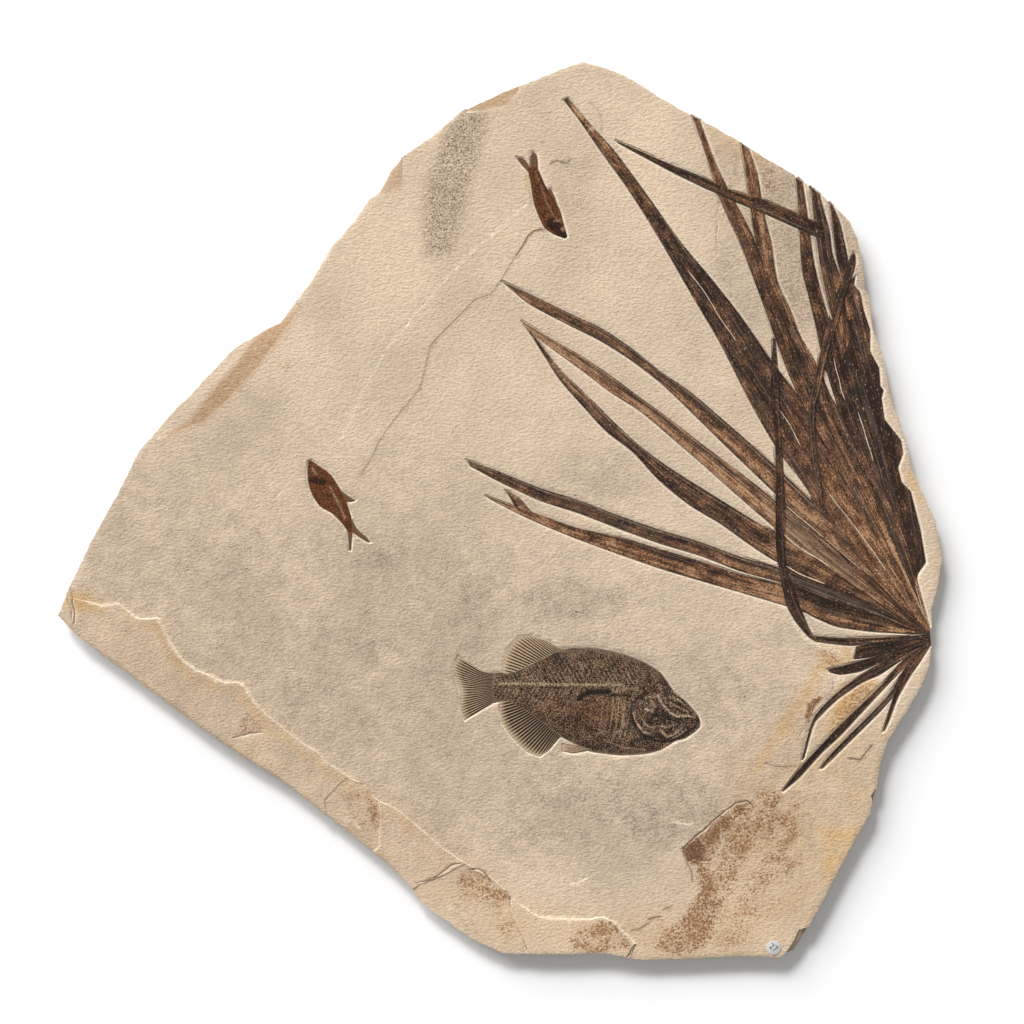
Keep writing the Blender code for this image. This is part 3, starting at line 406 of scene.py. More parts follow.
UPPER_BLACK = [
    ([(551, 223), (559, 229), (566, 237)], 11.0, 0.95), ([(537, 172), (543, 184), (548, 192)], 2.0, 0.7),
    ([(533, 178), (536, 195), (541, 212), (548, 226)], 2.0, 0.6),
    ([(538, 184), (543, 199), (551, 214)], 1.5, 0.6), ([(518.5, 158), (524, 160.5), (530, 165)], 1.6, 0.9),
    ([(533, 154), (532.7, 160), (532.3, 168)], 1.6, 0.8), ([(550, 193), (553, 200), (556, 210)], 2.4, 0.6)]
LOWER_PALE = [([(330, 487), (338, 502), (345, 518)], 2.0, 0.5), ([(312, 468), (316, 474)], 2.0, 0.6)]
LOWER_BLACK = [([(311, 480), (323, 482)], 7.0, 0.95), ([(309, 466), (316, 471)], 5.0, 0.5)]


# Places and lines on the plan

def place(point, z=0.0):
    """Plan steps to metres in the slab's frame."""
    return Vector(((point[0] - PLAN_MIDDLE[0]) * STEP, (PLAN_MIDDLE[1] - point[1]) * STEP, z))


def to_plan(places):
    """Metres to plan steps, for an array of places."""
    return np.column_stack([places[:, 0] / STEP + PLAN_MIDDLE[0], PLAN_MIDDLE[1] - places[:, 1] / STEP])


def span(points):
    """The length of a line, in plan steps."""
    return np.linalg.norm(np.diff(np.array(points, float), axis=0), axis=1).sum()


def curve(points, count, smooth=True):
    """A line through the points, smoothed, as evenly spaced places."""
    line = np.array(points, float)
    if smooth and len(line) > 2:
        ends = np.vstack([2 * line[0] - line[1], line, 2 * line[-1] - line[-2]])
        t = np.linspace(0, 1, 9)[:-1, None]
        parts = [0.5 * (2 * b + (c - a) * t + (2 * a - 5 * b + 4 * c - d) * t ** 2
                        + (3 * b - a - 3 * c + d) * t ** 3)
                 for a, b, c, d in zip(ends, ends[1:], ends[2:], ends[3:])]
        line = np.vstack(parts + [line[-1:]])
    run = np.concatenate([[0], np.cumsum(np.linalg.norm(np.diff(line, axis=0), axis=1))])
    at = np.linspace(0, run[-1], count)
    return np.column_stack([np.interp(at, run, line[:, k]) for k in (0, 1)])


def nearest(at, line):
    """The vector from each place to the nearest point of a line."""
    best = np.full((len(at), 2), 1e9)
    line = np.array(line, float)
    for a, b in zip(line, line[1:]):
        d = b - a
        t = np.clip(((at - a) @ d) / max(d @ d, 1e-9), 0, 1)
        to = a + t[:, None] * d - at
        closer = (to ** 2).sum(axis=1) < (best ** 2).sum(axis=1)
        best[closer] = to[closer]
    return best


def distance(at, line):
    """How far each place is from a line."""
    return np.linalg.norm(nearest(at, line), axis=1)


def inside(at, loop):
    """Which places lie within a loop."""
    x, y = at.T
    hit = np.zeros(len(at), bool)
    for (ax, ay), (bx, by) in zip(loop, loop[1:] + loop[:1]):
        if ay != by:
            hit ^= ((ay > y) != (by > y)) & (x < (bx - ax) * (y - ay) / (by - ay) + ax)
    return hit


def patch(at, loop, fade):
    """1 within a loop and 0 outside it, fading over its edge."""
    away = distance(at, loop + loop[:1])
    return np.clip(0.5 + np.where(inside(at, loop), away, -away) / fade, 0, 1)


def blob(at, middle, half):
    """A soft oval spot."""
    return np.exp(-1.6 * (((at - np.array(middle, float)) / half) ** 2).sum(axis=1))


def stroke(at, line, width, fade=1.0):
    """1 on a line of some width and 0 beside it."""
    return np.clip(0.5 + (width / 2 - distance(at, line)) / fade, 0, 1)


def strokes(at, lines, fade):
    """The strongest of several lines, each with its width and strength."""
    layer = np.zeros(len(at))
    for line, width, strength in lines:
        layer = np.maximum(layer, strength * stroke(at, line, width, fade))
    return layer


def rough(places, size, seed):
    """Smooth noise between -1 and 1 over an array of places, size in metres."""
    return np.array([noise.noise((x / size, y / size, z / size + seed)) for x, y, z in places.tolist()])


# Materials

def linear(code):
    """An sRGB hex colour as linear values."""
    parts = [int(code[k:k + 2], 16) / 255 for k in (1, 3, 5)]
    return tuple(c / 12.92 if c <= 0.04045 else ((c + 0.055) / 1.055) ** 2.4 for c in parts) + (1.0,)


def add(tree, kind, inputs=(), stops=(), out=0, **settings):
    """Adds a node with its settings, its values or links, and its ramp's stops. Gives one of its outputs."""
    node = tree.nodes.new("ShaderNode" + kind)
    for key, value in settings.items():
        setattr(node, key, value)
    for key, value in inputs.items() if isinstance(inputs, dict) else enumerate(inputs):
        if isinstance(value, bpy.types.NodeSocket):
            tree.links.new(value, node.inputs[key])
        else:
            node.inputs[key].default_value = value
    for k, (position, colour) in enumerate(stops):
        element = node.color_ramp.elements[k] if k < 2 else node.color_ramp.elements.new(position)
        element.position, element.color = position, linear(colour)
    return node.outputs[out]


def start(name, roughness):
    """A new material for a dull mineral or paper surface, and its tree."""
    made = bpy.data.materials.new(name)
    made.use_nodes = True
    for key, value in (("Roughness", roughness), ("IOR", 1.5), ("Specular IOR Level", 0.2)):
        made.node_tree.nodes["Principled BSDF"].inputs[key].default_value = value
    return made, made.node_tree


def finish_look(made, colour, layers=(), relief=None, shade=None):
    """Lays colours over the first one, each by the product of two shares, darkens them by a grain, and joins
    the result and the relief to the shader."""
    tree = made.node_tree
    for first, second, over in layers:
        share = add(tree, "Math", (first, second), operation="MULTIPLY")
        over = linear(over) if isinstance(over, str) else over
        colour = add(tree, "Mix", {0: share, 6: colour, 7: over}, out=2, data_type="RGBA")
    if shade:
        colour = add(tree, "Mix", {0: 1.0, 6: colour, 7: shade}, out=2, data_type="RGBA",
                     blend_type="MULTIPLY")
    shader = tree.nodes["Principled BSDF"]
    tree.links.new(colour, shader.inputs["Base Color"])
    if relief:
        tree.links.new(relief, shader.inputs["Normal"])
    return made


def limestone():
    """Lacustrine limestone, split along its bedding and scraped clean: chalky, with a fine combed grain, soft
    greyish mottles, and iron stains that break up into specks."""
    made, tree = start("split_limestone", 0.9)
    here = add(tree, "TexCoord", out="Object")
    stain_and_painted_light = {key: add(tree, "Attribute", out="Fac", attribute_name=key) for key in STAINS_AND_PAINTED_LIGHT}
    grain = {}
    for key, size, detail, share, stretch in (
            ("broad", 0.110, 3, 0.55, 1.0),
            ("combed", 0.0026, 3, 0.6, 0.6),     # scraped grain, 2.6 mm apart, longer sideways
            ("crumbs", 0.0015, 2, 0.55, 1.0),    # sand grains drawn at 1.5 mm, so that they show
            ("blotch", 0.018, 4, 0.55, 1.0),
            ("drift", 0.030, 3, 0.55, 1.0),
            ("spots", 0.0028, 5, 0.8, 1.0),      # specks of iron drawn at 2.8 mm
            ("stipple", 0.0016, 3, 0.75, 1.0),
            ("flecks", 0.0032, 1, 0.55, 1.0)):
        scaled = add(tree, "Mapping", {"Vector": here, "Scale": (stretch / size, 1 / size, 1 / size)})
        grain[key] = add(tree, "TexNoise", {"Vector": scaled, "Scale": 1.0, "Detail": detail,
                                            "Roughness": share}, out="Fac")
    colour = add(tree, "ValToRGB", (grain["broad"],), [(0.36, "#cdb89f"), (0.62, "#dfc8ad")])
    mottled = add(tree, "MapRange", (grain["blotch"], 0.12, 0.84))
    grey = add(tree, "Math", (stain_and_painted_light["grey"], mottled), operation="MULTIPLY")
    spots = add(tree, "Math", (grain["spots"], 3.4, -1.7), operation="MULTIPLY_ADD")
    iron = add(tree, "Math", (stain_and_painted_light["rust"], spots), operation="ADD")
    clumps = add(tree, "Math", (grain["blotch"], 1.2, -0.6), operation="MULTIPLY_ADD")
    iron = add(tree, "Math", (iron, clumps), operation="ADD")
    rusty = add(tree, "MapRange", (stain_and_painted_light["rust"], 0.0, 0.12))
    iron = add(tree, "Math", (add(tree, "MapRange", (iron, 0.50, 0.69)), rusty), operation="MULTIPLY")
    tone = add(tree, "Math", (stain_and_painted_light["rust"], add(tree, "Math", (spots, 0.30), operation="SUBTRACT")),
               operation="ADD")
    iron_colour = add(tree, "ValToRGB", (tone,), [(0.20, "#a8794f"), (0.95, "#4f2c1b")])
    speckled = add(tree, "Math", (add(tree, "MapRange", (grey, 0.10, 0.5)), 0.75), operation="MULTIPLY")
    speckled = add(tree, "Math", (stain_and_painted_light["specks"], speckled), operation="MAXIMUM")
    stipple = add(tree, "MapRange", (grain["stipple"], 0.48, 0.58))
    # Painted highlight: the walls of recesses and steps, found by their slope, are made paler below
    upward = add(tree, "SeparateXYZ", (add(tree, "NewGeometry", out="True Normal"),), out=2)
    covered = add(tree, "Math", (stain_and_painted_light["side"], stain_and_painted_light["crack"]), operation="MAXIMUM")
    wall = add(tree, "Math", (add(tree, "MapRange", (upward, 0.93, 0.75)),
                              add(tree, "Math", (1.0, covered), operation="SUBTRACT")), operation="MULTIPLY")
    bedding = add(tree, "Mapping", {"Vector": here, "Scale": (18.0, 18.0, 900.0)})
    bedding = add(tree, "TexNoise", {"Vector": bedding, "Scale": 1.0, "Detail": 3.0}, out="Fac")
    broken = add(tree, "ValToRGB", (bedding,), [(0.35, "#94856f"), (0.50, "#b3a086"), (0.66, "#cbb89b")])
    layers = [
        (grey, 1.0, "#9f9184"),
        (stain_and_painted_light["yellow"], add(tree, "MapRange", (grain["drift"], 0.15, 0.75)), "#cfa158"),
        (stain_and_painted_light["ochre"], add(tree, "MapRange", (grain["combed"], 0.15, 0.70)), "#a67b4c"),
        (add(tree, "MapRange", (stain_and_painted_light["rust"], 0.0, 0.8)), 0.15, "#b0895f"),
        (iron, 0.88, iron_colour),
        (stain_and_painted_light["specks"], 0.16, "#9a8672"),
        (add(tree, "Math", (stipple, speckled), operation="MULTIPLY"), 0.85, "#5c4d41"),
        (add(tree, "MapRange", (grain["flecks"], 0.755, 0.785)), 0.75, "#6f5038"),
        (wall, 0.5, "#f6ead6"),                  # painted highlight: upright walls, found by their slope, are made paler so that their rims look lit; freshly cut stone is also paler
        # painted shade: grooves are darkened, the deeper the darker
        (stain_and_painted_light["crack"], 0.8, "#6b513c"),
        (stain_and_painted_light["chip"], 1.0, "#a39785"),
        # pale lines, and painted highlight on the crescents below bent leaflets and on the rim of the step
        # down from the raised rim
        (stain_and_painted_light["chalk_and_highlight"], add(tree, "MapRange", (grain["combed"], 0.2, 0.65)), "#f3e3c9"),
        (stain_and_painted_light["side"], 1.0, broken)]
    fine = add(tree, "Math", (grain["crumbs"], 0.6, grain["combed"]), operation="MULTIPLY_ADD")
    fine = add(tree, "MapRange", (fine, 0.50, 1.10))
    fine = add(tree, "Math", (fine, 0.32, 0.83), operation="MULTIPLY_ADD")
    fine = add(tree, "CombineColor", (fine, fine, fine))
    relief = add(tree, "Bump", {"Height": grain["combed"], "Distance": 0.0020, "Strength": 0.67})
    relief = add(tree, "Bump", {"Height": grain["crumbs"], "Distance": 0.0006, "Strength": 0.56,
                                "Normal": relief})
    return finish_look(made, colour, layers, relief, fine)


def leaf_film():
    """A palm leaf turned to a thin film of coal: dull, dark brown, its parallel veins in fine streaks."""
    made, tree = start("carbonised_leaf", 0.75)
    field = {key: add(tree, "Attribute", out="Fac", attribute_name=key)
             for key in ("warm", "grey", "bare", "seam")}
    fibre = add(tree, "UVMap", uv_map="fibre")
    streak = {}
    for key, width, length, detail in (
            ("veins", 0.0016, 0.060, 4),         # veins drawn 1.6 mm apart, so that they show
            ("folds", 0.0050, 0.160, 2),
            ("grit", 0.0012, 0.0028, 4),
            ("mottle", 0.009, 0.020, 4),
            ("bundles", 0.0034, 0.300, 2),
            ("chips", 0.0014, 0.0045, 3),
            ("gaps", 0.02, 0.0016, 3)):
        scaled = add(tree, "Mapping", {"Vector": fibre, "Scale": (1 / width, 1 / length, 1)})
        streak[key] = add(tree, "TexNoise", {"Vector": scaled, "Scale": 1.0, "Detail": detail}, out="Fac",
                          noise_dimensions="2D")
    tone = -0.27
    for part, share in ((streak["veins"], 0.36), (streak["folds"], 0.28), (streak["grit"], 0.68),
                        (streak["mottle"], 0.54), (field["warm"], 0.26)):
        tone = add(tree, "Math", (part, share, tone), operation="MULTIPLY_ADD")
    colour = add(tree, "ValToRGB", (tone,), [(0.60, "#271a13"), (0.69, "#443024"), (0.77, "#61432e"),
                                             (0.86, "#86593b"), (0.96, "#b48f6e")])
    greyed = add(tree, "MapRange", (streak["bundles"], 0.50, 0.64, 0.0, 0.42))
    greyed = add(tree, "Math", (field["grey"], 0.75, greyed), operation="MULTIPLY_ADD")
    ash = add(tree, "ValToRGB", (streak["veins"],), [(0.38, "#2c231d"), (0.62, "#6f6053")])
    seam = add(tree, "MapRange", (add(tree, "Math", (field["seam"],), operation="ABSOLUTE"), 0.95, 0.45))
    gaps = add(tree, "MapRange", (streak["gaps"], 0.35, 0.60))
    seam = add(tree, "Math", (seam, gaps), operation="MULTIPLY")
    chips = add(tree, "Math", (field["bare"], 0.5, streak["chips"]), operation="MULTIPLY_ADD")
    chips = add(tree, "MapRange", (chips, 0.66, 0.80))
    relief = add(tree, "Bump", {"Height": streak["veins"], "Distance": 0.0006, "Strength": 0.8})
    layers = [(greyed, 1.0, ash), (seam, 0.45, "#b59d82"), (chips, 0.8, "#c2ab8c")]
    return finish_look(made, colour, layers, relief)


def fish_bone(name, dark, middle, light, warm, pale, black, ray):
    """Bone and scales turned dark by minerals: slightly glossy, broken up into specks, with paler bones."""
    made, tree = start(name, 0.5)
    keys = ("warm", "black", "pale", "ray", "grey", "stone")
    field = {key: add(tree, "Attribute", out="Fac", attribute_name=key) for key in keys}
    here = add(tree, "TexCoord", out="Object")
    grain = []
    for size, detail in ((0.0013, 4), (0.012, 2)):       # scales drawn at 1.3 mm, so that they show
        scaled = add(tree, "Mapping", {"Vector": here, "Scale": (1 / size,) * 3})
        grain.append(add(tree, "TexNoise", {"Vector": scaled, "Scale": 1.0, "Detail": detail,
                                            "Roughness": 0.65}, out="Fac"))
    flecks, broad = grain
    tone = add(tree, "Math", (flecks, add(tree, "MapRange", (broad, 0.3, 0.7, -0.05, 0.05))), operation="ADD")
    colour = add(tree, "ValToRGB", (tone,), [(0.445, dark), (0.525, middle), (0.597, light)])
    reddish = add(tree, "ValToRGB", (flecks,), [(0.40, dark), (0.58, warm)])
    soot = add(tree, "Math", (field["black"], add(tree, "MapRange", (flecks, 0.35, 0.65, 0.25, -0.35))),
               operation="ADD", use_clamp=True)
    bony = add(tree, "ValToRGB", (flecks,), [(0.40, middle), (0.53, pale)])
    wave = add(tree, "SeparateXYZ", (add(tree, "UVMap", uv_map="rays"),))
    wave = add(tree, "Math", (wave, 6.28318), operation="MULTIPLY")
    wave = add(tree, "Math", (wave,), operation="SINE")
    stripe = add(tree, "MapRange", (add(tree, "Math", (wave, field["grey"]), operation="ADD"), -0.55, 0.65))
    striped = add(tree, "Mix", {0: stripe, 6: linear(dark), 7: linear(ray)}, out=2, data_type="RGBA")
    dust = add(tree, "MapRange", (flecks, 0.45, 0.62, 0.0, 0.45))
    striped = add(tree, "Mix", {0: dust, 6: striped, 7: linear(middle)}, out=2, data_type="RGBA")
    relief = add(tree, "Bump", {"Height": flecks, "Distance": 0.0006, "Strength": 0.7})
    layers = [(field["warm"], 1.0, reddish), (soot, field["black"], black), (field["pale"], 1.0, bony),
              (field["ray"], 1.0, striped), (field["stone"], 1.0, "#cdb596")]
    return finish_look(made, colour, layers, relief)


def paper(name, dark, light):
    """Uncoated paper, die cut, or the ink that has sunk into it: matt, with faint fibres."""
    made, tree = start(name, 0.85)
    here = add(tree, "TexCoord", out="Object")
    fibres = add(tree, "TexNoise", {"Vector": here, "Scale": 900.0, "Detail": 3.0}, out="Fac")
    return finish_look(made, add(tree, "ValToRGB", (fibres,), [(0.3, dark), (0.7, light)]))


# Shapes

def to_mesh(name, bm):
    """Turns a finished bmesh into a mesh."""
    mesh = bpy.data.meshes.new(name)
    bm.to_mesh(mesh)
    bm.free()
    return mesh


def put(name, data):
    """A new object in the scene."""
    made = bpy.data.objects.new(name, data)
    bpy.context.scene.collection.objects.link(made)
    return made


def finish_piece(name, bm, surface, node, sharp=0.7):
    """Makes a piece, smooth but for its sharp edges, that stands for its CAD node."""
    for edge in bm.edges:
        edge.smooth = len(edge.link_faces) == 2 and edge.calc_face_angle(0.0) < sharp
    for face in bm.faces:
        face.smooth = True
    mesh = to_mesh(name, bm)
    mesh.materials.append(surface)
    made = put(name, mesh)
    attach(made, "root")
    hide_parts(node)
    return made


def paint(mesh, name, values):
    """Stores one value per corner point for a material to read."""
    mesh.attributes.new(name, "FLOAT", "POINT").data.foreach_set("value", np.asarray(values, np.float32))


def bar(name, points, count, smooth, profile):
    """A closed bar along a line. profile(k, point, side, end) gives the corners of its cross-section."""
    line = curve(points, count, smooth)
    sections = []
    for k, point in enumerate(line):
        way = line[min(k + 1, count - 1)] - line[max(k - 1, 0)]
        sections.append(profile(k, point, Vector((way[1], way[0], 0)).normalized(), k in (0, count - 1)))
    bm = bmesh.new()
    face = bm.faces.new([bm.verts.new(c) for c in sections[0]])
    for k, section in enumerate(sections[1:]):
        made = bmesh.ops.extrude_face_region(bm, geom=[face])["geom"]
        if k:
            bm.faces.remove(face)
        face = next(g for g in made if isinstance(g, bmesh.types.BMFace))
        before = list(sections[k])
        for vert in face.verts:
            vert.co = section[min(range(len(before)), key=lambda j: (vert.co - before[j]).length)]
    bmesh.ops.recalc_face_normals(bm, faces=bm.faces[:])
    return to_mesh(name, bm)


def crack_cutter(points, width, depth, seed):
    """A ragged wedge along a crack. Its walls stand upright above the face."""
    def profile(k, point, side, end):
        half = width / 2 * (1 + 0.7 * noise.noise((k * 0.6, seed, 5))) * (0.25 if end else 1)
        middle = place(point) + side * (noise.noise((k * 0.9, seed, 0)) * 0.0010)
        return [middle + side * half * out + Vector((0, 0, FACE_LEVEL + up)) for out, up in
                ((1.1, 0.0022), (1, 0.00003), (0, -depth), (-1, 0.00003), (-1.1, 0.0022))]

    return put("crack", bar("crack", points, max(4, int(span(points) / 3.2)), False, profile))


def sliver(points, width):
    """A thin wall of stone left standing between two leaflets, wider at its foot."""
    def profile(k, point, side, end):
        half = width / 2 * STEP * (0.8 + 0.5 * noise.noise((k * 0.7, width, 3))) * (0.2 if end else 1)
        foot, top = place(point, SLIVER_FOOT), place(point, SLIVER_TOP)
        return [foot + side * half * 1.6, foot - side * half * 1.6, top - side * half, top + side * half]

    return bar("sliver", points, max(5, int(span(points) / 4)), True, profile)


def dice(bm, faces, axis, low, high, cell):
    """Cuts faces into bands no wider than a cell, halving them again and again."""
    if high - low <= cell or not faces:
        return
    middle = (low + high) / 2
    parts = set(faces)
    for face in faces:
        parts.update(face.edges)
        parts.update(face.verts)
    co, no = [0.0] * 3, [0.0] * 3
    co[axis], no[axis] = middle, 1.0
    made = bmesh.ops.bisect_plane(bm, geom=list(parts), dist=1e-7, plane_co=co, plane_no=no)["geom"]
    below, above = [], []
    for face in made:
        if isinstance(face, bmesh.types.BMFace):
            (below if face.calc_center_median()[axis] < middle else above).append(face)
    dice(bm, below, axis, low, middle, cell)
    dice(bm, above, axis, middle, high, cell)


def lean_walls(bm):
    """Gives the upright walls of recesses and steps a slope, so that their rims catch the light."""
    shifts, rims, steep = {}, [], set()
    for face in bm.faces:
        heights = [v.co.z for v in face.verts]
        if abs(face.normal.z) < 0.2 and min(heights) > INNER_LEVEL:
            middle = (min(heights) + max(heights)) / 2
            steep.update(v for v in face.verts if min(heights) > STEP_LEVEL)
            rims += [e for e in face.edges if min(v.co.z for v in e.verts) > middle]
            for vert in face.verts:
                shifts.setdefault(vert, []).append(face.normal.xy.to_3d() * (-1 if vert.co.z > middle else 1))
    rims = list(set(rims))
    starts = np.array([e.verts[0].co.xy for e in rims])
    spans = np.array([e.verts[1].co.xy for e in rims]) - starts
    for vert, moves in shifts.items():
        way = sum(moves, Vector((0, 0, 0))) / len(moves)
        amount = WALL_FOOT_SHIFT
        if way.dot(moves[0]) and any(e in rims for e in vert.link_edges):
            here = np.array(vert.co.xy)
            t = ((here - starts) * spans).sum(axis=1) / np.maximum((spans ** 2).sum(axis=1), 1e-12)
            to = starts + np.clip(t, 0, 1)[:, None] * spans - here
            far = np.linalg.norm(to, axis=1)
            facing = (to @ np.array(way.xy) > 0.4 * far) & (far > 1e-6)
            most = STEEP_TOP_SHIFT if vert in steep else WALL_TOP_SHIFT
            amount = min(most, 0.35 * far[facing].min(initial=1.0))
        shifts[vert] = way * amount
    for vert, move in shifts.items():
        vert.co += move


def slab(surface):
    """The stone: the CAD slab with its cracks cut, its walls worn, and its faces and sides roughened."""
    source = put("slab_blank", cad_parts["stone_slab"].data.copy())
    bm = bmesh.new()
    bm.from_mesh(source.data)
    bmesh.ops.remove_doubles(bm, verts=bm.verts[:], dist=1e-6)
    bm.to_mesh(source.data)
    bm.free()
    cutters = [crack_cutter(line, width, abs(depth), seed * 7.3)
               for seed, (line, width, depth) in enumerate(CRACKS_AND_SHADE_LINES)]
    for cutter in cutters:
        modifier = source.modifiers.new("crack", "BOOLEAN")
        modifier.operation, modifier.solver, modifier.object = "DIFFERENCE", "EXACT", cutter
    bpy.context.view_layer.update()
    cracked = bpy.data.meshes.new_from_object(source.evaluated_get(bpy.context.evaluated_depsgraph_get()))
    for old in [source] + cutters:
        bpy.data.objects.remove(old)
    bm = bmesh.new()
    bm.from_mesh(cracked)
    bmesh.ops.dissolve_limit(bm, angle_limit=0.01, verts=bm.verts[:], edges=bm.edges[:])
    lean_walls(bm)
    low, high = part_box("stone_slab")
    for axis in (0, 1):
        dice(bm, [f for f in bm.faces if f.normal.z > 0.3], axis, low[axis], high[axis], FACE_CELL)
        dice(bm, [f for f in bm.faces if f.normal.z <= 0.3], axis, low[axis], high[axis], SIDE_CELL)
    side = [f for f in bm.faces if abs(f.normal.z) < 0.9 and f.calc_center_median().z < SIDE_TOP]
    dice(bm, side, 2, 0.0, SIDE_TOP, LAYER_CELL)
    for line, width in SLIVERS:
        bm.from_mesh(sliver(line, width))
    made = finish_piece("slab_of_limestone", bm, surface, "stone_slab")
    weather(made.data)
    return made


STAINS_AND_PAINTED_LIGHT = ("grey", "yellow", "ochre", "rust", "specks", "crack", "chip", "chalk_and_highlight", "side")


def weather(mesh):
    """Roughens the slab's surfaces and stores its stains, its painted shade and its painted highlight."""
    count = len(mesh.vertices)
    places, normals = np.empty(count * 3), np.empty(count * 3)
    mesh.vertices.foreach_get("co", places)
    mesh.vertex_normals.foreach_get("vector", normals)
    places, normals = places.reshape(-1, 3), normals.reshape(-1, 3)
    at = to_plan(places)
    z = places[:, 2].copy()
    edge = distance(at, SLAB_OUTLINE + SLAB_OUTLINE[:1]) * STEP
    # The face, the raised rim, the deep breaks, the split part and the recesses, each with its roughness
    broad, small = rough(places, 0.045, 3.0), rough(places, 0.011, 9.0)
    raised = np.clip((z - 0.0203) / 0.0006, 0, 1)
    deep = np.clip((0.0183 - z) / 0.0004, 0, 1)
    split = patch(at, SPLIT_FACE, 20) * (np.abs(z - FACE_LEVEL) < 0.0003)
    lift = 0.00010 * broad + 0.00005 * small
    lift -= raised * (0.00016 + 0.0002 * small + 0.0001 * broad)
    lift += deep * (0.0004 * small + 0.0004 * broad)
    lift += split * (0.0004 * small + 0.00045 * rough(places, 0.0055, 51.0) - 0.0001)
    lift[(np.abs(z - RECESS_LEVEL) < 0.0002) & (edge > 3 * STEP)] *= 0.4
    wear = np.clip(1 - edge / 0.0032, 0, 1) ** 2
    lift -= np.where(z > 0.0160, wear * 0.0009 * (0.6 + 0.5 * rough(places, 0.009, 21.0)), 0)
    for loop, cut, left, slope in SCARS:
        floor = (np.abs(z - cut) < 0.0003) & inside(at, loop)
        level = left - cut + 0.00025 * small + 0.0002 * broad - slope * np.clip(1 - edge / 0.014, 0, 1)
        lift[floor] = level[floor]
    # The broken side: bedding layers and a ragged edge, both cut inward
    chipped = inside(at, SCARS[2][0]) | inside(at, SCARS[3][0])
    flank = (z <= SIDE_TOP) & (z > 0.0004) & (edge < 0.012) & ~chipped
    bedding = 0.0022 * (rough(places * (1, 1, 9), 0.016, 31.0) * 0.5 + 0.5)
    ragged = np.clip(1 - edge / 0.0030, 0, 1) * (0.0010 + 0.0008 * rough(places * (1, 1, 0.3), 0.008, 61.0)
                                                 + 0.0006 * rough(places * (1, 1, 0.3), 0.0035, 67.0))
    ragged = np.where(z > 0.0004, np.maximum(ragged, 0), 0)
    inward = -places[:, :2] / np.maximum(np.linalg.norm(places[:, :2], axis=1), 1e-6)[:, None]
    # The step down from the rim, pulled onto its finer line, and a sway that makes all steps irregular
    onto = nearest(at, LEDGE_GUESS)
    reach = np.linalg.norm(onto, axis=1)
    pull = nearest(at + onto, LEDGE_LINE) * np.clip(1.5 - reach / 8, 0, 1)[:, None]
    above = (z > INNER_LEVEL) & (edge > 0.004)
    rugged = np.where((at[:, 0] < 660) & (at[:, 1] > 590) & (reach < 60), 0.0009, 0.00025)
    sway = np.column_stack([rough(places, 0.010, seed) + 0.5 * rough(places, 0.004, seed + 2)
                            for seed in (71.0, 77.0)])
    back = rough(places, 0.03, 41.0)
    places[:, :2] += inward * (np.where(flank, bedding, 0) + ragged)[:, None]
    places[:, :2] += (sway * rugged[:, None] + pull * (STEP, -STEP)) * above[:, None]
    places[:, 2] += np.where((z > 0.0135) & (normals[:, 2] > 0.3) | (z > 0.0176), lift, 0)
    places[:, 2] += np.where((z < 0.0004) & (edge > 0.006), 0.0007 * (0.5 + 0.5 * back), 0)
    places[:, 2] = np.clip(places[:, 2], 0, RIM_LEVEL)
    mesh.vertices.foreach_set("co", places.ravel())
    # Stains, painted shade in the grooves and painted highlight on rims
    for name, patches in (("ochre", OCHRE), ("rust", RUST), ("yellow", YELLOW), ("specks", SPECKS)):
        layer = np.zeros(count)
        for loop, fade, strength in patches:
            layer = np.maximum(layer, strength * patch(at, loop, fade))
        paint(mesh, name, layer)
    grey = 0.42 * np.clip((at[:, 1] + 0.35 * (500 - at[:, 0]) - 330) / 330, 0, 1)
    grey *= np.clip((950 - at[:, 1]) / 120, 0, 1) * np.clip((925 - at[:, 0]) / 120, 0, 1)
    for middle, half, strength in MOTTLES:
        grey = grey + 0.85 * strength * blob(at, middle, half) * (1 - grey)
    paint(mesh, "grey", grey)
    # Painted shade in the grooves, the deeper the darker
    paint(mesh, "crack", strokes(at, [(line, 1.4, min(1.0, (depth - 0.0003) * 1500))
                                      for line, _, depth in CRACKS_AND_SHADE_LINES if depth > 0], 1.2))
    # Pale lines, and painted highlight on the crescents and along the rim of the step down
    chalk_and_highlight = np.maximum(strokes(at, [(line, 1.4, 0.8) for line, _, depth in CRACKS_AND_SHADE_LINES if depth < 0], 1.2),
                       strokes(at, CRESCENTS, 2.0))
    # Painted highlight along the step's rim, stronger in some stretches
    ledge_highlight = np.interp(at[:, 0], [60, 100, 160, 250, 262, 500, 535, 640],
                       [0.2, 0.4, 0.8, 0.8, 0.16, 0.10, 0.6, 0.6])
    paint(mesh, "chalk_and_highlight", np.maximum(chalk_and_highlight, (z > 0.0197) * (reach < 1.2) * ledge_highlight))
    paint(mesh, "chip", (z < 0.0165) & (z > 0.013) & (normals[:, 2] > 0.5))
    paint(mesh, "side", np.clip((0.0165 - z) / 0.0006, 0, 1))
    mesh.update()


FIELDS = ("warm", "grey", "bare", "seam", "pale", "black", "ray", "stone")
MAPS = ("fibre", "rays")


def new_fossil():
    """An empty mesh with the fields and maps that the fossils' materials read."""
    bm = bmesh.new()
    for key in FIELDS:
        bm.verts.layers.float.new(key)
    for key in MAPS:
        bm.loops.layers.uv.new(key)
    return bm


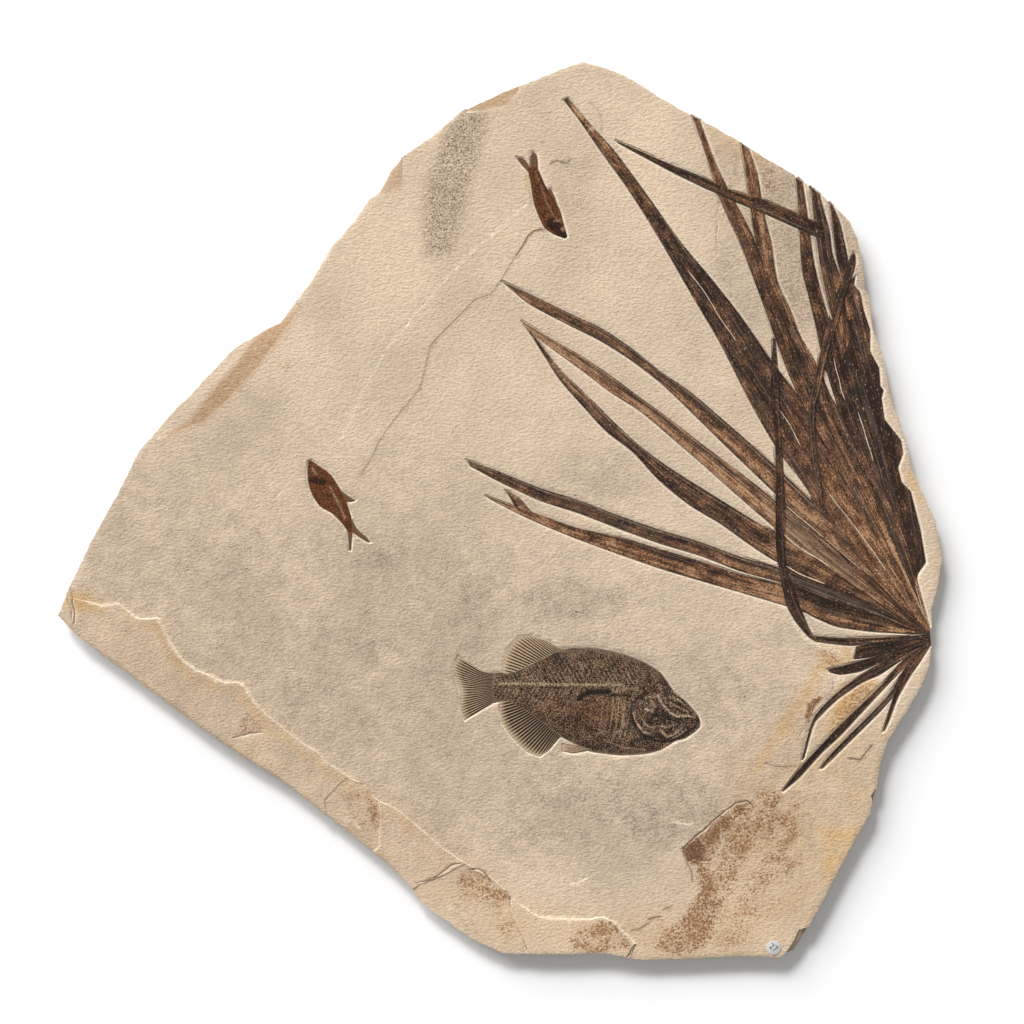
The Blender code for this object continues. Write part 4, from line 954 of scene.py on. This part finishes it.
def close_down(bm, faces, order, at, z, maps, fields, holed=False):
    """Puts a flat grid in its place, stores its maps and fields, and closes it down to the recess's floor."""
    if holed:
        before = set(bm.faces)
        skirt = bmesh.ops.extrude_face_region(bm, geom=faces)["geom"]
        skirt += [f for f in bm.faces if f not in before]
    else:
        rim = list({e for f in faces for e in f.edges if e.is_boundary})
        skirt = bmesh.ops.extrude_edge_only(bm, edges=rim)["geom"]
    lower = {g for g in skirt if isinstance(g, bmesh.types.BMVert)}
    twins = {tuple(vert.co): k for vert, k in order.items()}
    for vert in lower:
        order[vert] = twins[tuple(vert.co)]
    floats = {key: bm.verts.layers.float[key] for key in fields}
    layers = {key: bm.loops.layers.uv[key] for key in maps}
    for vert, k in order.items():
        vert.co = place(at[k], FLOOR_LEVEL if vert in lower else z[k])
        for key, value in fields.items():
            vert[floats[key]] = float(value[k])
    rim = [g for g in skirt if isinstance(g, bmesh.types.BMEdge) and set(g.verts) <= lower]
    closed = set(faces) | {g for g in skirt if isinstance(g, bmesh.types.BMFace)}
    if not holed:
        closed |= set(bmesh.ops.holes_fill(bm, edges=rim, sides=0)["faces"])
    for face in closed:
        for loop in face.loops:
            k = order[loop.vert]
            for key, (s, t) in maps.items():
                loop[layers[key]].uv = (s[k], t[k])
    bmesh.ops.recalc_face_normals(bm, faces=list(closed))


def strip(bm, left, right, along, across, height, look, rays=0, end=None, root=None):
    """A blade between two margins, from its tip to its base. Its end and root may follow their own lines."""
    verts = bmesh.ops.create_grid(bm, x_segments=across, y_segments=along, size=1.0)["verts"]
    u = np.array([vert.co.x * 0.5 + 0.5 for vert in verts])
    v = np.array([vert.co.y * 0.5 + 0.5 for vert in verts])
    steps = np.linspace(0, 1, 4 * along + 1)
    a, b = curve(left, len(steps)), curve(right, len(steps))

    def along_line(line, share):
        return np.column_stack([np.interp(share, np.linspace(0, 1, len(line)), line[:, k]) for k in (0, 1)])

    at = along_line(a, v) * (1 - u)[:, None] + along_line(b, v) * u[:, None]
    for line, first, last, share in ((end, a[0], b[0], 1 - v), (root, a[-1], b[-1], v)):
        if line:
            straight = first * (1 - u)[:, None] + last * u[:, None]
            at += (along_line(curve(line, 100), u) - straight) * share[:, None]
    run = span((a + b) / 2) * STEP
    wide = np.interp(v, steps, np.linalg.norm(a - b, axis=1)) * STEP
    shift = (len(bm.verts) * 0.0137) % 2.3    # so that no two blades have the same streaks
    maps = {"fibre": ((u - 0.5) * wide + shift, v * run), "rays": (u * rays, v)}
    faces = list({f for vert in verts for f in vert.link_faces})
    close_down(bm, faces, {vert: k for k, vert in enumerate(verts)}, at, FLOOR_LEVEL + height(u, v, at), maps,
               look(u, v, at, wide))


# Fossils

NO_SEAM = 9.0                 # a distance from the seam at which it doesn't show
BASE = (931, 636)             # where all leaflets meet


def frond(surface):
    """The palm leaf: folded leaflets in their order on the stone, over the dark fan in which they meet."""
    bm = new_fossil()
    fan(bm)
    for (left, right), (layer, warmth, seam) in zip(LEAFLETS, LEAF_LOOKS):
        low_down = layer < 3

        def height(u, v, at):
            return 0.0006 + 0.0002 * layer + 0.0004 * np.abs(2 * u - 1) * np.clip(v * 12, 0, 1)

        def look(u, v, at, wide):
            # Painted shade: the upper part of each leaflet, the side of its fold turned away from the light,
            # is made darker and greyer
            upper = np.clip((0.46 - u) / 0.16, 0, 1)
            lower = np.clip((u - 0.90) / 0.08, 0, 1)
            near = patch(at, [(780, 500), (868, 566), (860, 612), (782, 590)], 26)
            shade = patch(at, [(785, 566), (870, 596), (915, 628), (860, 634), (800, 616)], 26)
            base = (0.8 if warmth > 0.5 else 1.3) * np.clip(v - 0.60, 0, 0.4) * low_down
            worn = 0.12 * blob(at, (740, 215), (26, 60)) + 0.5 * blob(at, (575, 112), (16, 16))
            worn += 0.25 * blob(at, (747, 165), (12, 40))
            warm = worn + warmth + base - 0.75 * shade * low_down
            # painted shade darkens the upper part of warm leaflets; the lower margin is darker too
            warm -= 0.42 * upper * (warmth > 0.3) + 0.4 * lower
            beside = (u - seam) * wide * 1000 + NO_SEAM * (v > 0.72) if seam else np.full(len(u), NO_SEAM)
            return {"warm": warm + 0.12 * np.sin(v * 9 + layer), "seam": beside,
                    "bare": 1.6 * stroke(at, [(583, 131), (592, 127)], 2.2, 1.5),
                    "grey": np.clip(0.55 * near + 0.30 * upper, 0, 1) * (layer == 2) * (warmth > 0)}

        strip(bm, left, right, max(8, int(span(left) / 3.5)), 10, height, look)
    return finish_piece("frond", bm, surface, "palm_frond", sharp=1.0)


def fan(bm):
    """The dark fan around the leaf's base, pleated along the lines that meet there."""
    outline = []
    for loop in (FAN, FAN_GAP, LEAF_BASE):
        corners = [bm.verts.new(place(p)) for p in loop]
        outline += [bm.edges.new((a, b)) for a, b in zip(corners, corners[1:] + corners[:1])]
        if loop is not FAN:
            bmesh.ops.triangle_fill(bm, use_beauty=True, use_dissolve=False, edges=outline)
            outline = []
    low, high = place((785, 660)), place((935, 265))
    for axis in (0, 1):
        dice(bm, bm.faces[:], axis, low[axis], high[axis], 0.0035)
    bmesh.ops.delete(bm, geom=[v for v in bm.verts if not v.link_faces], context="VERTS")
    verts = bm.verts[:]
    at = to_plan(np.array([v.co for v in verts]))
    away = np.array(BASE, float) - at
    angle, reach = np.arctan2(away[:, 1], away[:, 0]), np.linalg.norm(away, axis=1)
    pleat = np.abs((angle / 0.105) % 2 - 1)
    z = FLOOR_LEVEL + 0.0004 + 0.0004 * pleat * np.clip(reach / 90, 0, 1)
    maps = {"fibre": (angle * 0.20 + 5, reach * STEP), "rays": (angle * 0, reach * 0)}
    warm = 0.28 - 0.56 * patch(at, [(840, 250), (920, 440), (930, 600), (905, 570), (840, 400)], 90)
    bare = 0.10 * patch(at, [(800, 400), (850, 400), (900, 560), (830, 540)], 40)
    fields = {"warm": warm - 0.2 * pleat, "bare": bare, "grey": 0.10 * pleat,
              "seam": np.full(len(at), NO_SEAM)}
    close_down(bm, bm.faces[:], {v: k for k, v in enumerate(verts)}, at, z, maps, fields, holed=True)


def dome(u):
    """The rounded cross-section of a body, 1 in its middle and 0 at its margins."""
    return np.clip(1 - (2 * u - 1) ** 2, 0, 1) ** 0.5


def large_fish(surface):
    """The deep-bodied fish: domed body with backbone, ribs and skull, and fins pleated along their rays."""
    bm = new_fossil()
    for left, right, end, root, rays, light in LARGE_FINS:
        def fin_height(u, v, at):
            return 0.00045 + 0.00014 * np.sin(u * rays * 2 * math.pi) + 0.0002 * v

        def fin_look(u, v, at, wide):
            return {"ray": np.clip(1.25 - 0.45 * v, 0, 1), "stone": 0.8 * np.clip(1 - v / 0.12, 0, 1),
                    "grey": light + 0.9 * (0.45 - v)}

        strip(bm, left, right, 12, 4 * rays, fin_height, fin_look, rays, end, root)

    def height(u, v, at):
        bones = strokes(at, LARGE_PALE, 1.6) - strokes(at, LARGE_BLACK, 1.8)
        return 0.0005 + 0.0008 * dome(u) * np.clip(v * 9, 0, 1) ** 0.5 + 0.0003 * bones

    def look(u, v, at, wide):
        spine = stroke(at, [(500, 683.5), (560, 684.5), (622, 685)], 2.2, 1.3)
        spine *= 0.62 + 0.34 * np.sin(at[:, 0] * 2.2)
        off = np.abs(at[:, 1] - 684.5)
        spines = np.clip(np.sin((at[:, 0] + 0.6 * off) * 1.35), 0, 1)
        spines *= np.clip(1.1 - off / 34, 0, 1) * (at[:, 0] < 640)
        ribs = np.clip(np.sin((at[:, 0] + 0.004 * (at[:, 1] - 700) ** 2) * 1.15) - 0.2, 0, 1)
        ribs *= blob(at, (618, 715), (24, 30)) * (at[:, 1] > 690)
        warm = 0.6 * blob(at, (603, 712), (26, 18)) + 0.25 * blob(at, (560, 700), (40, 20))
        rim = np.clip(1 - np.minimum(u, 1 - u) / 0.02, 0, 1)
        pale = np.max([strokes(at, LARGE_PALE, 1.6), spine, 0.28 * spines, 0.55 * ribs], axis=0)
        under = stroke(at, [(500, 687), (560, 688), (590, 688.5)], 1.6, 1.4) * 0.6
        black = np.maximum(strokes(at, LARGE_BLACK, 1.8), under)
        return {"pale": pale * (1 - black), "black": black, "warm": warm, "stone": 0.3 * rim}

    strip(bm, *LARGE_BODY, 210, 100, height, look)
    return finish_piece("fish_large", bm, surface, "large_fish", sharp=1.2)


def small_fish(name, node, surface, parts, pale_lines, black_lines, spots):
    """A small herring-like fish: a thin body first, then tail and fins."""
    bm = new_fossil()
    for k, (left, right) in enumerate(parts):
        doming, ray, along, across = (0.0002, 0.5, 14, 10) if k else (0.0008, 0.0, 60, 26)

        def height(u, v, at):
            return 0.0005 + doming * dome(u)

        def look(u, v, at, wide):
            pale, black = strokes(at, pale_lines, 1.6), strokes(at, black_lines, 2.2)
            for middle, size in spots:
                pale = np.maximum(pale, blob(at, middle, (size, size)))
            return {"pale": pale, "black": black * (1 - pale), "warm": np.full(len(at), 0.6),
                    "ray": np.full(len(at), ray)}

        strip(bm, left, right, along, across, height, look, 5)
    return finish_piece(name, bm, surface, node, sharp=1.2)


def paper_dot(surface, ink):
    """A die-cut paper dot, its edges slightly rounded, with its stamped number."""
    low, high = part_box("paper_label")
    middle, size = (low + high) / 2, high - low
    bm = bmesh.new()
    bmesh.ops.create_cone(bm, cap_ends=True, segments=48, radius1=size.x / 2, radius2=size.x / 2,
                          depth=size.z)
    bmesh.ops.translate(bm, verts=bm.verts[:], vec=middle)
    bmesh.ops.bevel(bm, geom=[e for e in bm.edges if e.calc_face_angle(0) > 1], offset=0.0001, segments=2,
                    profile=0.5, material=-1, affect="EDGES")
    finish_piece("paper_dot", bm, surface, "paper_label")
    text = bpy.data.curves.new("number", "FONT")
    text.body, text.size, text.align_x, text.align_y, text.extrude = "27", 0.0100, "CENTER", "CENTER", 0.00002
    holder = put("number", text)
    bpy.context.view_layer.update()
    bm = bmesh.new()
    bm.from_mesh(holder.to_mesh())
    bmesh.ops.remove_doubles(bm, verts=bm.verts[:], dist=1e-7)
    bmesh.ops.rotate(bm, verts=bm.verts[:], matrix=Matrix.Rotation(math.radians(-35), 3, "Z"))
    bmesh.ops.translate(bm, verts=bm.verts[:], vec=(middle.x, middle.y, high.z + 0.00002))
    bpy.data.objects.remove(holder)
    number = put("dot_number", to_mesh("dot_number", bm))
    number.data.materials.append(ink)
    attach(number, "root")


# Table, light and camera

def studio():
    """A white table under soft light from the top left of the slab, and a camera straight above it."""
    made, tree = start("white_table", 0.9)
    here = add(tree, "TexCoord", out="Object")
    clouds = add(tree, "TexNoise", {"Vector": here, "Scale": 5.0, "Detail": 2.0}, out="Fac")
    finish_look(made, add(tree, "ValToRGB", (clouds,), [(0.3, "#fbfbfb"), (0.7, "#fefefe")]))
    bm = bmesh.new()
    bmesh.ops.create_grid(bm, x_segments=2, y_segments=2, size=6.0)
    table = put("table", to_mesh("table", bm))
    table.data.materials.append(made)
    # Lamps: degrees east of north and above the table, their softness in degrees, and their strength
    lamps = (("window", -22, 36, 14, 1.80), ("sky", -41, 23, 36, 3.12))
    for name, azimuth, elevation, softness, strength in lamps:
        light = bpy.data.lights.new(name, "SUN")
        light.energy, light.angle = strength, math.radians(softness)
        round_by, up_by = math.radians(azimuth), math.radians(elevation)
        away = Vector((math.sin(round_by) * math.cos(up_by), math.cos(round_by) * math.cos(up_by),
                       math.sin(up_by)))
        put(name, light).rotation_euler = away.to_track_quat("Z", "Y").to_euler()
    world = bpy.data.worlds.new("room")
    world.use_nodes = True
    room = world.node_tree.nodes["Background"].inputs
    room["Color"].default_value, room["Strength"].default_value = (1.0, 1.0, 1.0, 1.0), 0.34
    bpy.context.scene.world = world
    bpy.context.scene.view_settings.view_transform = "Standard"
    camera = put("camera", bpy.data.cameras.new("camera"))
    lens, sensor, width = 100, 36, 1024       # millimetres, millimetres and the view's width in plan steps
    camera.data.lens, camera.data.sensor_width = lens, sensor
    middle = place((width / 2, width / 2))
    camera.location = (middle.x, middle.y, FACE_LEVEL + width * STEP * lens / sensor)
    bpy.context.scene.camera = camera


bone = fish_bone("mineralised_bone", "#150e0a", "#47352a", "#9c7d62", "#8b5d3b", "#dcc09c", "#0a0806",
                 "#c9ab8a")
skin = fish_bone("fossil_scales", "#25140d", "#57331d", "#8d5f3e", "#80481f", "#c4a98a", "#0f0906", "#a98a6c")
slab(limestone())
frond(leaf_film())
large_fish(bone)
small_fish("fish_upper", "small_fish_upper", skin, SMALL_FISH_UPPER, UPPER_PALE, UPPER_BLACK,
           [((563, 229), 2.2)])
small_fish("fish_lower", "small_fish_lower", skin, SMALL_FISH_LOWER, LOWER_PALE, LOWER_BLACK, [])
paper_dot(paper("uncoated_paper", "#bcbab6", "#d4d2ce"), paper("stamping_ink", "#3a3836", "#54514d"))
studio()
